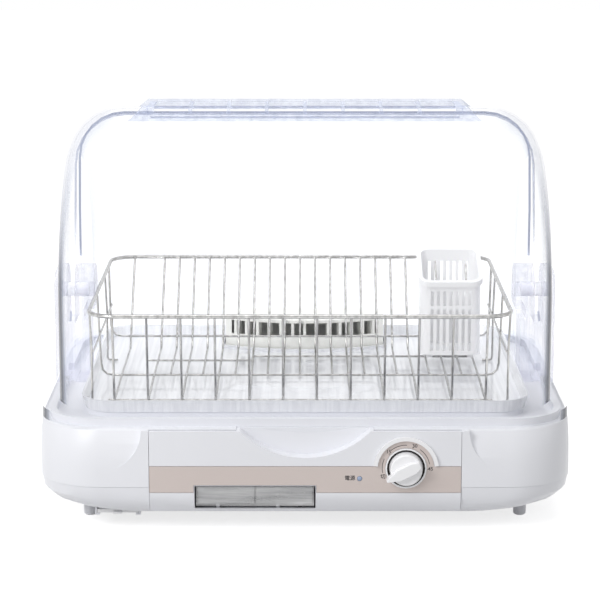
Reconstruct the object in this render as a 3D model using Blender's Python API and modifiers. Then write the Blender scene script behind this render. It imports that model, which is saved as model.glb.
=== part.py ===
"""Electric dish dryer: a clear two-part hood over a wire basket, on a base that blows warm air.

Metres, +Z up, X across the front, -Y towards the user. The model is drawn in a design frame whose
Y = 0 is the middle of the base, and one empty moves everything so that the origin is the middle of
the bounding box, on the table.
"""

import math

import bmesh
import bpy
from mathutils import Matrix, Vector

# Clearances and shared sizes
GAP = 0.0003
OVERRUN = 0.006
WALL = 0.0025
WELD_DISTANCE = 0.00001
SHARP_ANGLE_DEG = 35.0
ROUND_ANGLE_DEG = 50.0

# Heights of the parting line, the deck and the hood's pivots
FOOT_HEIGHT = 0.017
PAN_HEIGHT = 0.027
CASE_HEIGHT = 0.052
PIVOT_RISE = 0.087
SPLIT_Z = FOOT_HEIGHT + PAN_HEIGHT
DECK_Z = SPLIT_Z + CASE_HEIGHT
PIVOT_Z = DECK_Z + PIVOT_RISE
PAN_FLOOR = FOOT_HEIGHT + WALL
HOOD_BOTTOM = DECK_Z + GAP

# Depth of the base, which follows the hood's radius about its pivots
PIVOT_Y = 0.015
HOOD_RADIUS = 0.177
HOOD_SETBACK = 0.035
REAR_NEST = 0.0045
BACK_LEDGE = 0.010
REAR_RADIUS = HOOD_RADIUS - REAR_NEST
BASE_FRONT = PIVOT_Y - HOOD_RADIUS - HOOD_SETBACK
BASE_BACK = PIVOT_Y + REAR_RADIUS + BACK_LEDGE

# Base outline and feet
BASE_HALF_WIDTH = 0.241
BASE_CORNER = 0.058
OUTLINE_STEPS = 7
FOOT_RADIUS = 0.0058
FOOT_TOE = 0.0012
FOOT_STEPS = 18
FOOT_SIDE_INSET = 0.043
FOOT_FRONT_INSET = 0.067
FOOT_BACK_INSET = 0.0875
FOOT_X = BASE_HALF_WIDTH - FOOT_SIDE_INSET
FOOT_FRONT_Y = BASE_FRONT + FOOT_FRONT_INSET
FOOT_BACK_Y = BASE_BACK - FOOT_BACK_INSET

# Lower pan: height share and inset share of its dished side, bottom to top
PAN_SIDE_INSET = 0.035
PAN_FRONT_INSET = 0.017
PAN_RIM_STEP = 0.0006
PAN_SHARES = ((0.0, 1.0), (0.11, 0.66), (0.33, 0.28), (0.63, 0.05), (1.0, 0.0))
PAN_RIB_THICKNESS = 0.003
PAN_RIB_REACH = 0.005

# Upper case: height share and inset share of its leaning side, bottom to top
CASE_FRONT_LEAN = 0.009
CASE_SIDE_LEAN = 0.0008
CASE_SHARES = ((0.0, 0.0), (0.28, 0.0), (0.52, 0.1), (0.76, 0.42), (0.97, 0.93), (1.0, 1.2))
BROW_SCOOP = 0.037
BROW_SINK = 0.0001
BROW_DEPTH = 0.012
BROW_STEPS = 8
BROW_LOW_DEG = 262.0
BROW_HIGH_DEG = 182.0
BROW_MARGIN = 0.007
BROW_HALF_WIDTH = BASE_HALF_WIDTH - BASE_CORNER - BROW_SCOOP
INNER_DECK_RISE = 0.0044
INNER_DECK_MARGIN = 0.0015
RIDGE_WIDTH = 0.006
RIDGE_HEIGHT = 0.0068
RIDGE_INSET = 0.0042

# Flange of both hoods, resting on the case
FLANGE_SIDE_STEP = 0.001
FLANGE_FRONT_STEP = 0.011
FLANGE_BACK_STEP = 0.0015
FLANGE_CORNER_STEP = 0.002
FLANGE_HEIGHT = 0.010
FLANGE_THICKNESS = 0.0026
FLANGE_HALF_WIDTH = BASE_HALF_WIDTH - FLANGE_SIDE_STEP
FLANGE_FRONT = BASE_FRONT + FLANGE_FRONT_STEP
FLANGE_BACK = BASE_BACK - FLANGE_BACK_STEP
FLANGE_CORNER = BASE_CORNER - FLANGE_CORNER_STEP
FLANGE_TOP = DECK_Z + FLANGE_HEIGHT
LIP_HALF_WIDTH = 0.0415
LIP_DROP = 0.0045
LIP_THICKNESS = 0.003
LIP_SETBACK = 0.00015
LIP_STEPS = 10

# Hood pivots
PIN_RADIUS = 0.0068
PIN_PLAY = 0.0004
PIN_STEPS = 24

# Hood shells
HOOD_WALL = 0.0022
HOOD_SIDE_INSET = 0.014
HOOD_HALF_WIDTH = FLANGE_HALF_WIDTH - HOOD_SIDE_INSET
HOOD_CORNER = 0.050
HOOD_BOSS_RADIUS = 0.026
HOOD_BOSS_START_DEG = 225.0
HOOD_ARC_STEPS = 22
HOOD_CORNER_STEPS = 6
HOOD_TRAIL_DEG = 22.0
REAR_LEAD_DEG = 11.0
REAR_SIDE_NEST = 0.007
REAR_CORNER_NEST = 0.006
REAR_HALF_WIDTH = HOOD_HALF_WIDTH - REAR_SIDE_NEST
REAR_CORNER = HOOD_CORNER - REAR_CORNER_NEST

# Hinge brackets
BRACKET_TOP_RADIUS = 0.025
BRACKET_FRONT = PIVOT_Y - BRACKET_TOP_RADIUS
BRACKET_BACK = PIVOT_Y + BRACKET_TOP_RADIUS
BRACKET_SIDE_GAP = 0.0028
BRACKET_CAP_DEPTH = 0.0045
BRACKET_CAP_OUTER = BASE_HALF_WIDTH
BRACKET_POST_OUTER = BRACKET_CAP_OUTER - BRACKET_CAP_DEPTH
BRACKET_POST_INNER = HOOD_HALF_WIDTH + BRACKET_SIDE_GAP
BRACKET_LEG_THICKNESS = 0.0135
BRACKET_LEG_OUTER = HOOD_HALF_WIDTH - HOOD_WALL - BRACKET_SIDE_GAP
BRACKET_LEG_INNER = BRACKET_LEG_OUTER - BRACKET_LEG_THICKNESS
BRACKET_STEP = 0.005
BRACKET_BLOCK_INNER = BRACKET_LEG_INNER - BRACKET_STEP
BRACKET_NECK_INNER = BRACKET_LEG_INNER + BRACKET_STEP
BRACKET_BRIDGE_DROP = 0.030
BRACKET_BLOCK_DROP = 0.015
BRACKET_NECK_DROP = 0.026
BRACKET_BRIDGE_TOP = PIVOT_Z - BRACKET_BRIDGE_DROP
BRACKET_BLOCK_BOTTOM = PIVOT_Z - BRACKET_BLOCK_DROP
BRACKET_NECK_BOTTOM = PIVOT_Z - BRACKET_NECK_DROP
BRACKET_CAP_SHARE = 0.72
BRACKET_MID_SHARE = 0.93
BRACKET_STEPS = 12
BRIDGE_LAP = 0.001
PIN_SEAT = 0.0065
PIN_CAP = 0.001
PIN_INNER_X = BRACKET_BLOCK_INNER + PIN_SEAT
PIN_OUTER_X = BRACKET_POST_OUTER + PIN_CAP

# Where the two hoods part beside the brackets
HOOD_TAIL_GAP = 0.004
REAR_HEAD_GAP = 0.0025
REAR_STEP_BACK = 0.015
REAR_STEP_RISE = 0.030
HOOD_TAIL_Y = BRACKET_FRONT - HOOD_TAIL_GAP
REAR_HEAD_Y = BRACKET_BACK + REAR_HEAD_GAP
REAR_STEP_Y = PIVOT_Y + REAR_STEP_BACK
REAR_STEP_Z = PIVOT_Z + REAR_STEP_RISE

# Exhaust vent on the roof
VENT_RISE = 0.0045
VENT_FACE_DROP = 0.006
VENT_TOP_Z = PIVOT_Z + HOOD_RADIUS + VENT_RISE
VENT_FACE_Z = VENT_TOP_Z - VENT_FACE_DROP
VENT_FRONT_REACH = 0.053
VENT_FOOT_LENGTH = 0.012
VENT_FACE_LENGTH = 0.008
VENT_BACK_REACH = 0.041
VENT_TAIL_LENGTH = 0.011
VENT_FRONT = PIVOT_Y - VENT_FRONT_REACH
VENT_FACE_FRONT = VENT_FRONT + VENT_FOOT_LENGTH
VENT_TOP_FRONT = VENT_FACE_FRONT + VENT_FACE_LENGTH
VENT_BACK = PIVOT_Y + VENT_BACK_REACH
VENT_TOP_BACK = VENT_BACK - VENT_TAIL_LENGTH
VENT_SIDE_MARGIN = 0.025
VENT_SPLAY = 0.015
VENT_TOP_HALF = HOOD_HALF_WIDTH - HOOD_CORNER - VENT_SIDE_MARGIN
VENT_FOOT_HALF = VENT_TOP_HALF + VENT_SPLAY
VENT_WALL = 0.0022
VENT_CELLS = 8
VENT_BAR = 0.0034
VENT_END_MARGIN = 0.0057
VENT_CELL_PITCH = (2 * (VENT_TOP_HALF - VENT_END_MARGIN) - VENT_BAR) / VENT_CELLS
VENT_SLOT_LEAD = 0.0045
VENT_SLOT_TAIL = 0.005
VENT_SLOT_FRONT = VENT_TOP_FRONT + VENT_SLOT_LEAD
VENT_SLOT_BACK = VENT_TOP_BACK - VENT_SLOT_TAIL
VENT_FACE_BAR = 0.0012
VENT_THROAT_MARGIN = 0.004
VENT_SEAT_STEPS = 64

# Front panel with its finger pocket
PANEL_HALF_WIDTH = BROW_HALF_WIDTH - BROW_MARGIN
PANEL_SIDE_GAP = 0.0004
PANEL_THICKNESS = 0.003
PANEL_TOP_STEP = 0.0005
PANEL_TOP = DECK_Z - PANEL_TOP_STEP
PANEL_CAVITY_DEPTH = 0.0065
PAN_CAVITY_DEPTH = 0.013
PANEL_CAVITY_BACK = BASE_FRONT + PANEL_CAVITY_DEPTH
PAN_CAVITY_BACK = BASE_FRONT + PAN_CAVITY_DEPTH
POCKET_HALF_WIDTH = 0.058
POCKET_DROP = 0.0243
POCKET_DEPTH = 0.0145
POCKET_BACK = BASE_FRONT + POCKET_DEPTH
POCKET_WALL = 0.0022
POCKET_STEPS = 20

# Accent band and the panel's lip below it
ACCENT_DROP = 0.0046
ACCENT_HEIGHT = 0.024
ACCENT_BOTTOM = SPLIT_Z - ACCENT_DROP
ACCENT_TOP = ACCENT_BOTTOM + ACCENT_HEIGHT
ACCENT_THICKNESS = 0.0008
ACCENT_MARGIN = 0.0004
PANEL_LIP_STEP = 0.0006
PANEL_LIP_HEIGHT = 0.0078
PANEL_LIP_LEAN = 0.0006
PANEL_FOOT_RISE = 0.0029
PANEL_FOOT_INSET = 0.009
PANEL_LIP_TOP = ACCENT_BOTTOM - PANEL_LIP_STEP
PANEL_LIP_BOTTOM = PANEL_LIP_TOP - PANEL_LIP_HEIGHT
PANEL_BOTTOM = FOOT_HEIGHT + PANEL_FOOT_RISE
PANEL_BOTTOM_Y = BASE_FRONT + PANEL_FOOT_INSET

# Dial, knob and lamp: places as shares of the panel's half width
DIAL_SHARE = 0.646
DIAL_DROP = 0.0015
DIAL_X = DIAL_SHARE * PANEL_HALF_WIDTH
DIAL_Z = ACCENT_TOP - DIAL_DROP
DIAL_RADIUS = 0.025
DIAL_STEPS = 28
COLLAR_OUTER = 0.0184
COLLAR_INNER = 0.0170
COLLAR_PROUD = 0.0012
BEZEL_OUTER = 0.0290
BEZEL_INNER = 0.0254
BEZEL_PROUD = 0.0024
KNOB_RADIUS = 0.0150
KNOB_BACK_GAP = 0.0004
KNOB_FACE = 0.0085
KNOB_DRAFT = 0.0008
KNOB_EDGE = 0.0010
KNOB_RIDGE_PROUD = 0.0145
KNOB_POINTER = 0.0196
KNOB_TAIL = 0.0138
KNOB_RIDGE_HALF = 0.0052
KNOB_RIDGE_TIP = 0.0016
KNOB_RIDGE_START = 0.0030
KNOB_OFF_DEG = 207.0
KNOB_SHAFT_RADIUS = 0.003
KNOB_SHAFT_REACH = 0.012
KNOB_SHAFT_STEPS = 16
LAMP_SHARE = 0.349
LAMP_DROP = 0.0096
LAMP_X = LAMP_SHARE * PANEL_HALF_WIDTH
LAMP_Z = DIAL_Z - LAMP_DROP
LAMP_RADIUS = 0.0021
LAMP_PROUD = 0.0006
LAMP_DEPTH = 0.005
LAMP_STEPS = 16
LAMP_DOME_SHARE = 0.6
LAMP_RIM_SHARE = 0.8

# Timer behind the panel
TIMER_HALF = 0.0180
TIMER_DEPTH = 0.030
TIMER_BOLT_PLATE = 0.0015
TIMER_PLATE_HALF = 0.026

# Drain cup and its plug
CUP_LEFT_SHARE = -0.7014
CUP_RIGHT_SHARE = 0.0568
CUP_LEFT = CUP_LEFT_SHARE * PANEL_HALF_WIDTH
CUP_RIGHT = CUP_RIGHT_SHARE * PANEL_HALF_WIDTH
CUP_DIVIDER_X = (CUP_LEFT + CUP_RIGHT) / 2
CUP_RISE = 0.0095
CUP_BOTTOM = FOOT_HEIGHT + CUP_RISE
CUP_TOP = SPLIT_Z
CUP_SETBACK = 0.0025
CUP_LENGTH = 0.0845
CUP_FRONT = BASE_FRONT + CUP_SETBACK
CUP_BACK = CUP_FRONT + CUP_LENGTH
CUP_WALL = 0.0018
CUP_OPENING_MARGIN = 0.0014
CUP_OPENING_DROP = 0.0037
CUP_OPENING_BOTTOM = CUP_BOTTOM - CUP_OPENING_DROP
PLUG_FRONT_INSET = 0.008
PLUG_SIDE_INSET = 0.0124
PLUG_X = CUP_RIGHT - PLUG_SIDE_INSET
PLUG_Y = CUP_FRONT + PLUG_FRONT_INSET
PLUG_RADIUS = 0.0046
PLUG_RIB = 0.0008
PLUG_RIBS = 4
PLUG_HOLE = 0.0036
PLUG_NOSE = 0.0030
PLUG_STEPS = 16
PAN_RIB_SHARES = (0.166, 0.678)
PAN_RIB_X = tuple(CUP_LEFT + share * (CUP_RIGHT - CUP_LEFT) for share in PAN_RIB_SHARES)
PAN_RIB_BACK = CUP_BACK + PAN_RIB_REACH

# Intake filter under the pan
FILTER_SIDE_INSET = 0.053
FILTER_FRONT_INSET = 0.025
FILTER_WIDTH = 0.037
FILTER_LENGTH = 0.077
FILTER_LEFT_X = FILTER_SIDE_INSET - BASE_HALF_WIDTH
FILTER_RIGHT_X = FILTER_LEFT_X + FILTER_WIDTH
FILTER_FRONT = BASE_FRONT + FILTER_FRONT_INSET
FILTER_BACK = FILTER_FRONT + FILTER_LENGTH
FILTER_THICKNESS = 0.0032
FILTER_FRAME = 0.004
FILTER_BARS = 5
FILTER_BAR = 0.0014
FILTER_BAR_HEIGHT = 0.0016
FILTER_RAIL = 0.0018
FILTER_RAIL_LIP = 0.0022
FILTER_TAB = 0.004
INTAKE_SLOTS = 5
INTAKE_SLOT = 0.006

# Drain tray
TRAY_SIDE_GAP = 0.0025
TRAY_FRONT_INSET = 0.036
TRAY_BACK_INSET = 0.014
TRAY_HALF_WIDTH = BRACKET_LEG_INNER - TRAY_SIDE_GAP
TRAY_FRONT = FLANGE_FRONT + TRAY_FRONT_INSET
TRAY_BACK = FLANGE_BACK - TRAY_BACK_INSET
TRAY_CORNER = 0.030
TRAY_WALL = 0.002
TRAY_DEPTH = 0.0093
TRAY_DRAFT = 0.003
TRAY_FLOOR = DECK_Z + INNER_DECK_RISE + GAP + TRAY_WALL
TRAY_TOP = TRAY_FLOOR + TRAY_DEPTH
TRAY_CUT_MARGIN = 0.002
TRAY_COLLAR = 0.002
TRAY_COLLAR_RISE = 0.003
TRAY_STEPS = 5

# Warm-air outlet
OUTLET_HALF = 0.080
OUTLET_INSET = 0.024
OUTLET_LENGTH = 0.040
OUTLET_BOW = 0.022
OUTLET_BACK = TRAY_BACK - OUTLET_INSET
OUTLET_END_FRONT = OUTLET_BACK - OUTLET_LENGTH
OUTLET_MID_FRONT = OUTLET_END_FRONT - OUTLET_BOW
OUTLET_HEIGHT = 0.0385
OUTLET_TOP = DECK_Z + OUTLET_HEIGHT
OUTLET_WALL = 0.002
OUTLET_BROW = 0.003
OUTLET_SLOT_HEIGHT = 0.014
OUTLET_SLOT_TOP = OUTLET_TOP - OUTLET_BROW
OUTLET_SLOT_BOTTOM = OUTLET_SLOT_TOP - OUTLET_SLOT_HEIGHT
OUTLET_VANES = 13
OUTLET_VANE_DEPTH = 0.012
OUTLET_VANE_THICKNESS = 0.0028
OUTLET_VANE_SINK = 0.0004
OUTLET_VANE_END_DEG = 1.5
OUTLET_CORNER = 0.006
OUTLET_CORNER_STEPS = 3
OUTLET_STEPS = 12

# The tray's low hump and its drain
TRAY_HUMP_HALF = 0.073
TRAY_HUMP_FRONT_INSET = 0.066
TRAY_HUMP_BACK_GAP = 0.016
TRAY_HUMP_FRONT = TRAY_FRONT + TRAY_HUMP_FRONT_INSET
TRAY_HUMP_BACK = OUTLET_MID_FRONT - TRAY_HUMP_BACK_GAP
TRAY_HUMP_BOW = 0.014
TRAY_HUMP_RISE = 0.0035
TRAY_HUMP_SLOPE = 0.008
TRAY_DRAIN_INSET = 0.018
TRAY_DRAIN_SIDE = 0.0148
TRAY_DRAIN_X = CUP_DIVIDER_X + TRAY_DRAIN_SIDE
TRAY_DRAIN_Y = TRAY_FRONT + TRAY_DRAIN_INSET
TRAY_DRAIN_RADIUS = 0.005
TRAY_SPOUT_REACH = 0.010

# Duct from the blower to the outlet
DUCT_WALL = 0.002
DUCT_FOOT = 0.008
DUCT_BACK_INSET = 0.004
DUCT_THROAT_INSET = 0.024
DUCT_THROAT_LENGTH = 0.042
DUCT_SIDE_REACH = 0.022
DUCT_LAP = 0.008
DUCT_THROAT_HALF = OUTLET_HALF - DUCT_THROAT_INSET
DUCT_BACK = OUTLET_BACK - DUCT_BACK_INSET
DUCT_THROAT_FRONT = DUCT_BACK - DUCT_THROAT_LENGTH
DUCT_CHANNEL_BACK = DUCT_THROAT_FRONT + DUCT_LAP
DUCT_RIGHT = DUCT_THROAT_HALF + DUCT_SIDE_REACH

# Blower beside the duct
BLOWER_RADIUS = 0.058
BLOWER_SIDE_GAP = 0.004
BLOWER_X = -DUCT_THROAT_HALF - BLOWER_SIDE_GAP - BLOWER_RADIUS
BLOWER_Y = DUCT_CHANNEL_BACK - BLOWER_RADIUS
BLOWER_RISE = 0.0077
BLOWER_HEIGHT = 0.0408
BLOWER_BOTTOM = PAN_FLOOR + BLOWER_RISE
BLOWER_TOP = BLOWER_BOTTOM + BLOWER_HEIGHT
BLOWER_WALL = 0.002
BLOWER_INTAKE = 0.030
BLOWER_NECK = 0.040
BLOWER_LEG_RADIUS = 0.004
BLOWER_LEGS = 3
BLOWER_LEG_START_DEG = 30.0
BLOWER_LEG_STEPS = 12
BLOWER_STEPS = 30
DUCT_LEFT = BLOWER_X + BLOWER_RADIUS
DUCT_FRONT = DUCT_CHANNEL_BACK - BLOWER_NECK

# Fan wheel, shaft and motor
WHEEL_SIDE_GAP = 0.012
WHEEL_RISE = 0.0048
WHEEL_DROP = 0.006
WHEEL_RADIUS = BLOWER_RADIUS - WHEEL_SIDE_GAP
WHEEL_BOTTOM = BLOWER_BOTTOM + WHEEL_RISE
WHEEL_TOP = BLOWER_TOP - WHEEL_DROP
WHEEL_PLATE = 0.002
WHEEL_RING = 0.003
WHEEL_BLADES = 20
WHEEL_BLADE = 0.0012
WHEEL_BLADE_CHORD = 0.010
WHEEL_BLADE_LEAN_DEG = 18.0
WHEEL_HUB = 0.008
WHEEL_HUB_HEIGHT = 0.014
SHAFT_RADIUS = 0.0025
SHAFT_PLAY = 0.0004
MOTOR_RADIUS = 0.028
MOTOR_HEADROOM = 0.001
MOTOR_TOP = DECK_Z - WALL - MOTOR_HEADROOM
MOTOR_COLLAR = 0.034
MOTOR_COLLAR_HEIGHT = 0.003
MOTOR_STEPS = 24

# Heater in the duct
HEATER_LEFT_INSET = 0.040
HEATER_RIGHT_INSET = 0.018
HEATER_FRONT_GAP = 0.004
HEATER_TOP_DROP = 0.005
HEATER_LEFT = DUCT_LEFT + HEATER_LEFT_INSET
HEATER_RIGHT = DUCT_RIGHT - HEATER_RIGHT_INSET
HEATER_FRONT = DUCT_FRONT + HEATER_FRONT_GAP
HEATER_TOP = BLOWER_TOP - HEATER_TOP_DROP
HEATER_DEPTH = 0.030
HEATER_RAIL = 0.003
HEATER_FINS = 13
HEATER_FIN = 0.0012

# Cord gland in the back wall, with no cord
GLAND_SIDE_INSET = 0.071
GLAND_RISE = 0.018
GLAND_X = BASE_HALF_WIDTH - GLAND_SIDE_INSET
GLAND_Z = SPLIT_Z + GLAND_RISE
GLAND_HEAD = 0.0085
GLAND_NECK = 0.0060
GLAND_BORE = 0.0034
GLAND_REACH = 0.008
GLAND_RECESS = 0.0012

# Wire basket: its outline inside the tray and under the hood
BASKET_WIRE = 0.0011
BASKET_RIM_WIRE = 0.0020
BASKET_WELD = 0.0005
BASKET_BEND = 0.006
BASKET_BEND_STEPS = 3
BASKET_OFFSET = 0.0046
BASKET_X = -BASKET_OFFSET
BASKET_SIDE_INSET = 0.013
BASKET_BACK_INSET = 0.032
BASKET_HALF_WIDTH = TRAY_HALF_WIDTH - BASKET_SIDE_INSET
BASKET_FRONT = TRAY_FRONT
BASKET_BACK = TRAY_BACK - BASKET_BACK_INSET
BASKET_CORNER = 0.025
BASKET_CORNER_STEPS = 5
BASKET_RIM_RISE = 0.007
BASKET_RAIL_DROP = 0.038
BASKET_RIM_Z = PIVOT_Z + BASKET_RIM_RISE
BASKET_RAIL_Z = BASKET_RIM_Z - BASKET_RAIL_DROP

# The basket's hoops, which stand the plates
BASKET_HOOPS = 12
BASKET_HOOP_INSET = 0.0228
BASKET_PITCH = 2 * (BASKET_HALF_WIDTH - BASKET_HOOP_INSET) / (BASKET_HOOPS - 1)
BASKET_FLOOR_RISE = 0.0088
BASKET_DIP = 0.002
BASKET_SHELF_RISE = 0.012
BASKET_KNEE_RISE = 0.0055
BASKET_FLOOR_Z = TRAY_FLOOR + BASKET_FLOOR_RISE
BASKET_DIP_Z = BASKET_FLOOR_Z - BASKET_DIP
BASKET_SHELF_Z = BASKET_FLOOR_Z + BASKET_SHELF_RISE
BASKET_KNEE_Z = BASKET_SHELF_Z + BASKET_KNEE_RISE
BASKET_KNEE_INSET = 0.063
BASKET_SHELF_BACK_INSET = 0.066
BASKET_SHELF_FRONT_INSET = 0.073
BASKET_FLOOR_INSET = 0.078
BASKET_DIP_START_INSET = 0.088
BASKET_DIP_INSET = 0.045
BASKET_FOOT_INSET = 0.014
BASKET_KNEE_Y = BASKET_BACK - BASKET_KNEE_INSET
BASKET_SHELF_BACK = BASKET_BACK - BASKET_SHELF_BACK_INSET
BASKET_SHELF_FRONT = BASKET_BACK - BASKET_SHELF_FRONT_INSET
BASKET_FLOOR_BACK = BASKET_BACK - BASKET_FLOOR_INSET
BASKET_DIP_START = BASKET_FRONT + BASKET_DIP_START_INSET
BASKET_DIP_Y = BASKET_FRONT + BASKET_DIP_INSET
BASKET_FOOT_Y = BASKET_FRONT + BASKET_FOOT_INSET

# The basket's cross wires, rails and legs
BASKET_SIDE_STEP = 0.0015
BASKET_SIDE_FALL = 0.0032
BASKET_FRONT_STEP = 0.017
BASKET_SIDE_HALF = BASKET_HALF_WIDTH - BASKET_SIDE_STEP
BASKET_SIDE_LOW = BASKET_HALF_WIDTH - BASKET_SIDE_FALL
BASKET_FRONT_HALF = BASKET_HALF_WIDTH - BASKET_FRONT_STEP
BASKET_U_INSET = 0.112
BASKET_BACK_U_INSET = 0.0695
BASKET_BACK_U_TOP_INSET = 0.050
BASKET_U_Y = BASKET_FRONT + BASKET_U_INSET
BASKET_BACK_U_Y = BASKET_BACK - BASKET_BACK_U_INSET
BASKET_BACK_U_TOP_Y = BASKET_BACK - BASKET_BACK_U_TOP_INSET
BASKET_RAIL_FRONT_INSET = 0.028
BASKET_RAIL_BACK_INSET = 0.0575
BASKET_RAIL_FRONT = BASKET_FRONT + BASKET_RAIL_FRONT_INSET
BASKET_RAIL_BACK = BASKET_BACK - BASKET_RAIL_BACK_INSET
BASKET_MID_RIGHT_INSET = 0.108
BASKET_MID_LEFT_INSET = 0.126
BASKET_MID_SPLIT_SHARE = -1.495
BASKET_MID_END_SHARE = -4.875
BASKET_MID_RIGHT_Y = BASKET_BACK - BASKET_MID_RIGHT_INSET
BASKET_MID_LEFT_Y = BASKET_BACK - BASKET_MID_LEFT_INSET
BASKET_MID_SPLIT = BASKET_MID_SPLIT_SHARE * BASKET_PITCH
BASKET_MID_LEFT_END = BASKET_MID_END_SHARE * BASKET_PITCH
BASKET_LEG_FRONT_INSET = 0.028
BASKET_LEG_BACK_INSET = 0.098
BASKET_LEG_FRONT = BASKET_FRONT + BASKET_LEG_FRONT_INSET
BASKET_LEG_BACK = BASKET_BACK - BASKET_LEG_BACK_INSET
BASKET_LEG_FOOT = 0.010

# Cutlery holder in the basket's back right corner
HOLDER_SIDE_INSET = 0.0162
HOLDER_WIDTH = 0.0582
HOLDER_RIGHT = BASKET_X + BASKET_HALF_WIDTH - HOLDER_SIDE_INSET
HOLDER_LEFT = HOLDER_RIGHT - HOLDER_WIDTH
HOLDER_FRONT_INSET = 0.132
HOLDER_FOOT_DEPTH = 0.046
HOLDER_LEAN = 0.012
HOLDER_FRONT = BASKET_BACK - HOLDER_FRONT_INSET
HOLDER_FOOT_BACK = HOLDER_FRONT + HOLDER_FOOT_DEPTH
HOLDER_BACK = HOLDER_FOOT_BACK + HOLDER_LEAN
HOLDER_SEAT_GAP = 0.0002
HOLDER_FOOT_RISE = 0.004
HOLDER_BACK_RISE = 0.022
HOLDER_FOOT_Z = BASKET_FLOOR_Z + BASKET_WIRE + HOLDER_SEAT_GAP
HOLDER_BOTTOM = HOLDER_FOOT_Z + HOLDER_FOOT_RISE
HOLDER_FRONT_TOP = BASKET_RIM_Z
HOLDER_BACK_TOP = HOLDER_FRONT_TOP + HOLDER_BACK_RISE
HOLDER_WALL = 0.0018
HOLDER_CORNER = 0.009
HOLDER_SLOTS = 7
HOLDER_SLOT_PITCH = 0.0061
HOLDER_SLOT = 0.0030
HOLDER_SLOT_RISE = 0.0037
HOLDER_SLOT_LENGTH = 0.0415
HOLDER_SLOT_BAR = 0.0035
HOLDER_FRONT_MARGIN = 0.005
HOLDER_BACK_MARGIN = 0.007
HOLDER_LOWER_LOW = HOLDER_BOTTOM + HOLDER_SLOT_RISE
HOLDER_LOWER_HIGH = HOLDER_LOWER_LOW + HOLDER_SLOT_LENGTH
HOLDER_UPPER_LOW = HOLDER_LOWER_HIGH + HOLDER_SLOT_BAR
HOLDER_UPPER_HIGH = HOLDER_FRONT_TOP - HOLDER_FRONT_MARGIN
HOLDER_BACK_LOW = HOLDER_UPPER_LOW
HOLDER_BACK_HIGH = HOLDER_BACK_TOP - HOLDER_BACK_MARGIN
HOLDER_RIM = 0.0022
HOLDER_RIM_HEIGHT = 0.005
HOLDER_FOOT = 0.006
HOLDER_STEPS = 4

# The origin: the middle of the bounding box, knob to back wall
KNOB_FRONT = BASE_FRONT - KNOB_RIDGE_PROUD
FRAME_SHIFT = -(KNOB_FRONT + BASE_BACK) / 2

WHITE = (0.86, 0.87, 0.89)
COLOURS = {
    "white_plastic": (WHITE, 0.35, 0.0),
    "outlet_plastic": ((0.84, 0.84, 0.81), 0.4, 0.0),
    "clear_plastic": ((0.90, 0.92, 0.96), 0.06, 0.0),
    "tray_plastic": ((0.88, 0.89, 0.91), 0.12, 0.0),
    "accent_plastic": ((0.56, 0.47, 0.45), 0.35, 0.0),
    "lamp_plastic": ((0.45, 0.60, 0.85), 0.2, 0.0),
    "stainless_wire": ((0.62, 0.62, 0.60), 0.22, 1.0),
    "black_rubber": ((0.02, 0.02, 0.02), 0.6, 0.0),
    "grey_plastic": ((0.35, 0.36, 0.37), 0.5, 0.0),
    "motor_steel": ((0.50, 0.50, 0.50), 0.35, 1.0),
    "heater_aluminium": ((0.70, 0.70, 0.70), 0.35, 1.0),
}


def new_material(name):
    """A plain Principled material in one of the part's colours."""
    colour, roughness, metallic = COLOURS[name]
    material = bpy.data.materials.new(name)
    material.use_nodes = True
    shader = material.node_tree.nodes["Principled BSDF"]
    shader.inputs["Base Color"].default_value = (*colour, 1.0)
    shader.inputs["Roughness"].default_value = roughness
    shader.inputs["Metallic"].default_value = metallic
    if name in ("clear_plastic", "tray_plastic"):
        shader.inputs["Transmission Weight"].default_value = 0.9
    return material


def link(name, mesh, role="part"):
    """Put a mesh into the part's collection, or among the cutters."""
    shape = bpy.data.objects.new(name, mesh)
    collections[role].objects.link(shape)
    if role != "part":
        shape.hide_render = True
        shape.display_type = "WIRE"
    shape.parent = frame_empty
    return shape


def mesh_from(bm, name):
    bmesh.ops.recalc_face_normals(bm, faces=bm.faces)
    mesh = bpy.data.meshes.new(name)
    bm.to_mesh(mesh)
    bm.free()
    return mesh


def box(name, low, high, role="cutter"):
    bm = bmesh.new()
    bmesh.ops.create_cube(bm, size=1.0)
    size = Vector(high) - Vector(low)
    centre = (Vector(high) + Vector(low)) / 2
    bmesh.ops.transform(bm, matrix=Matrix.Translation(centre) @ Matrix.Diagonal((*size, 1)), verts=bm.verts)
    return link(name, mesh_from(bm, name), role)


def cylinder(name, radius, start, end, steps=24, role="cutter", end_radius=None):
    """A cylinder or a cone between two points."""
    start, end = Vector(start), Vector(end)
    axis = end - start
    turn = Vector((0, 0, 1)).rotation_difference(axis).to_matrix().to_4x4()
    bm = bmesh.new()
    bmesh.ops.create_cone(bm, cap_ends=True, segments=steps, radius1=radius,
                          radius2=radius if end_radius is None else end_radius, depth=axis.length)
    bmesh.ops.transform(bm, matrix=Matrix.Translation((start + end) / 2) @ turn, verts=bm.verts)
    return link(name, mesh_from(bm, name), role)


PLANES = {
    "XY": Matrix.Identity(4),
    "YZ": Matrix(((0, 0, 1, 0), (1, 0, 0, 0), (0, 1, 0, 0), (0, 0, 0, 1))),
    "XZ": Matrix(((1, 0, 0, 0), (0, 0, -1, 0), (0, 1, 0, 0), (0, 0, 0, 1))),
}


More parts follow.
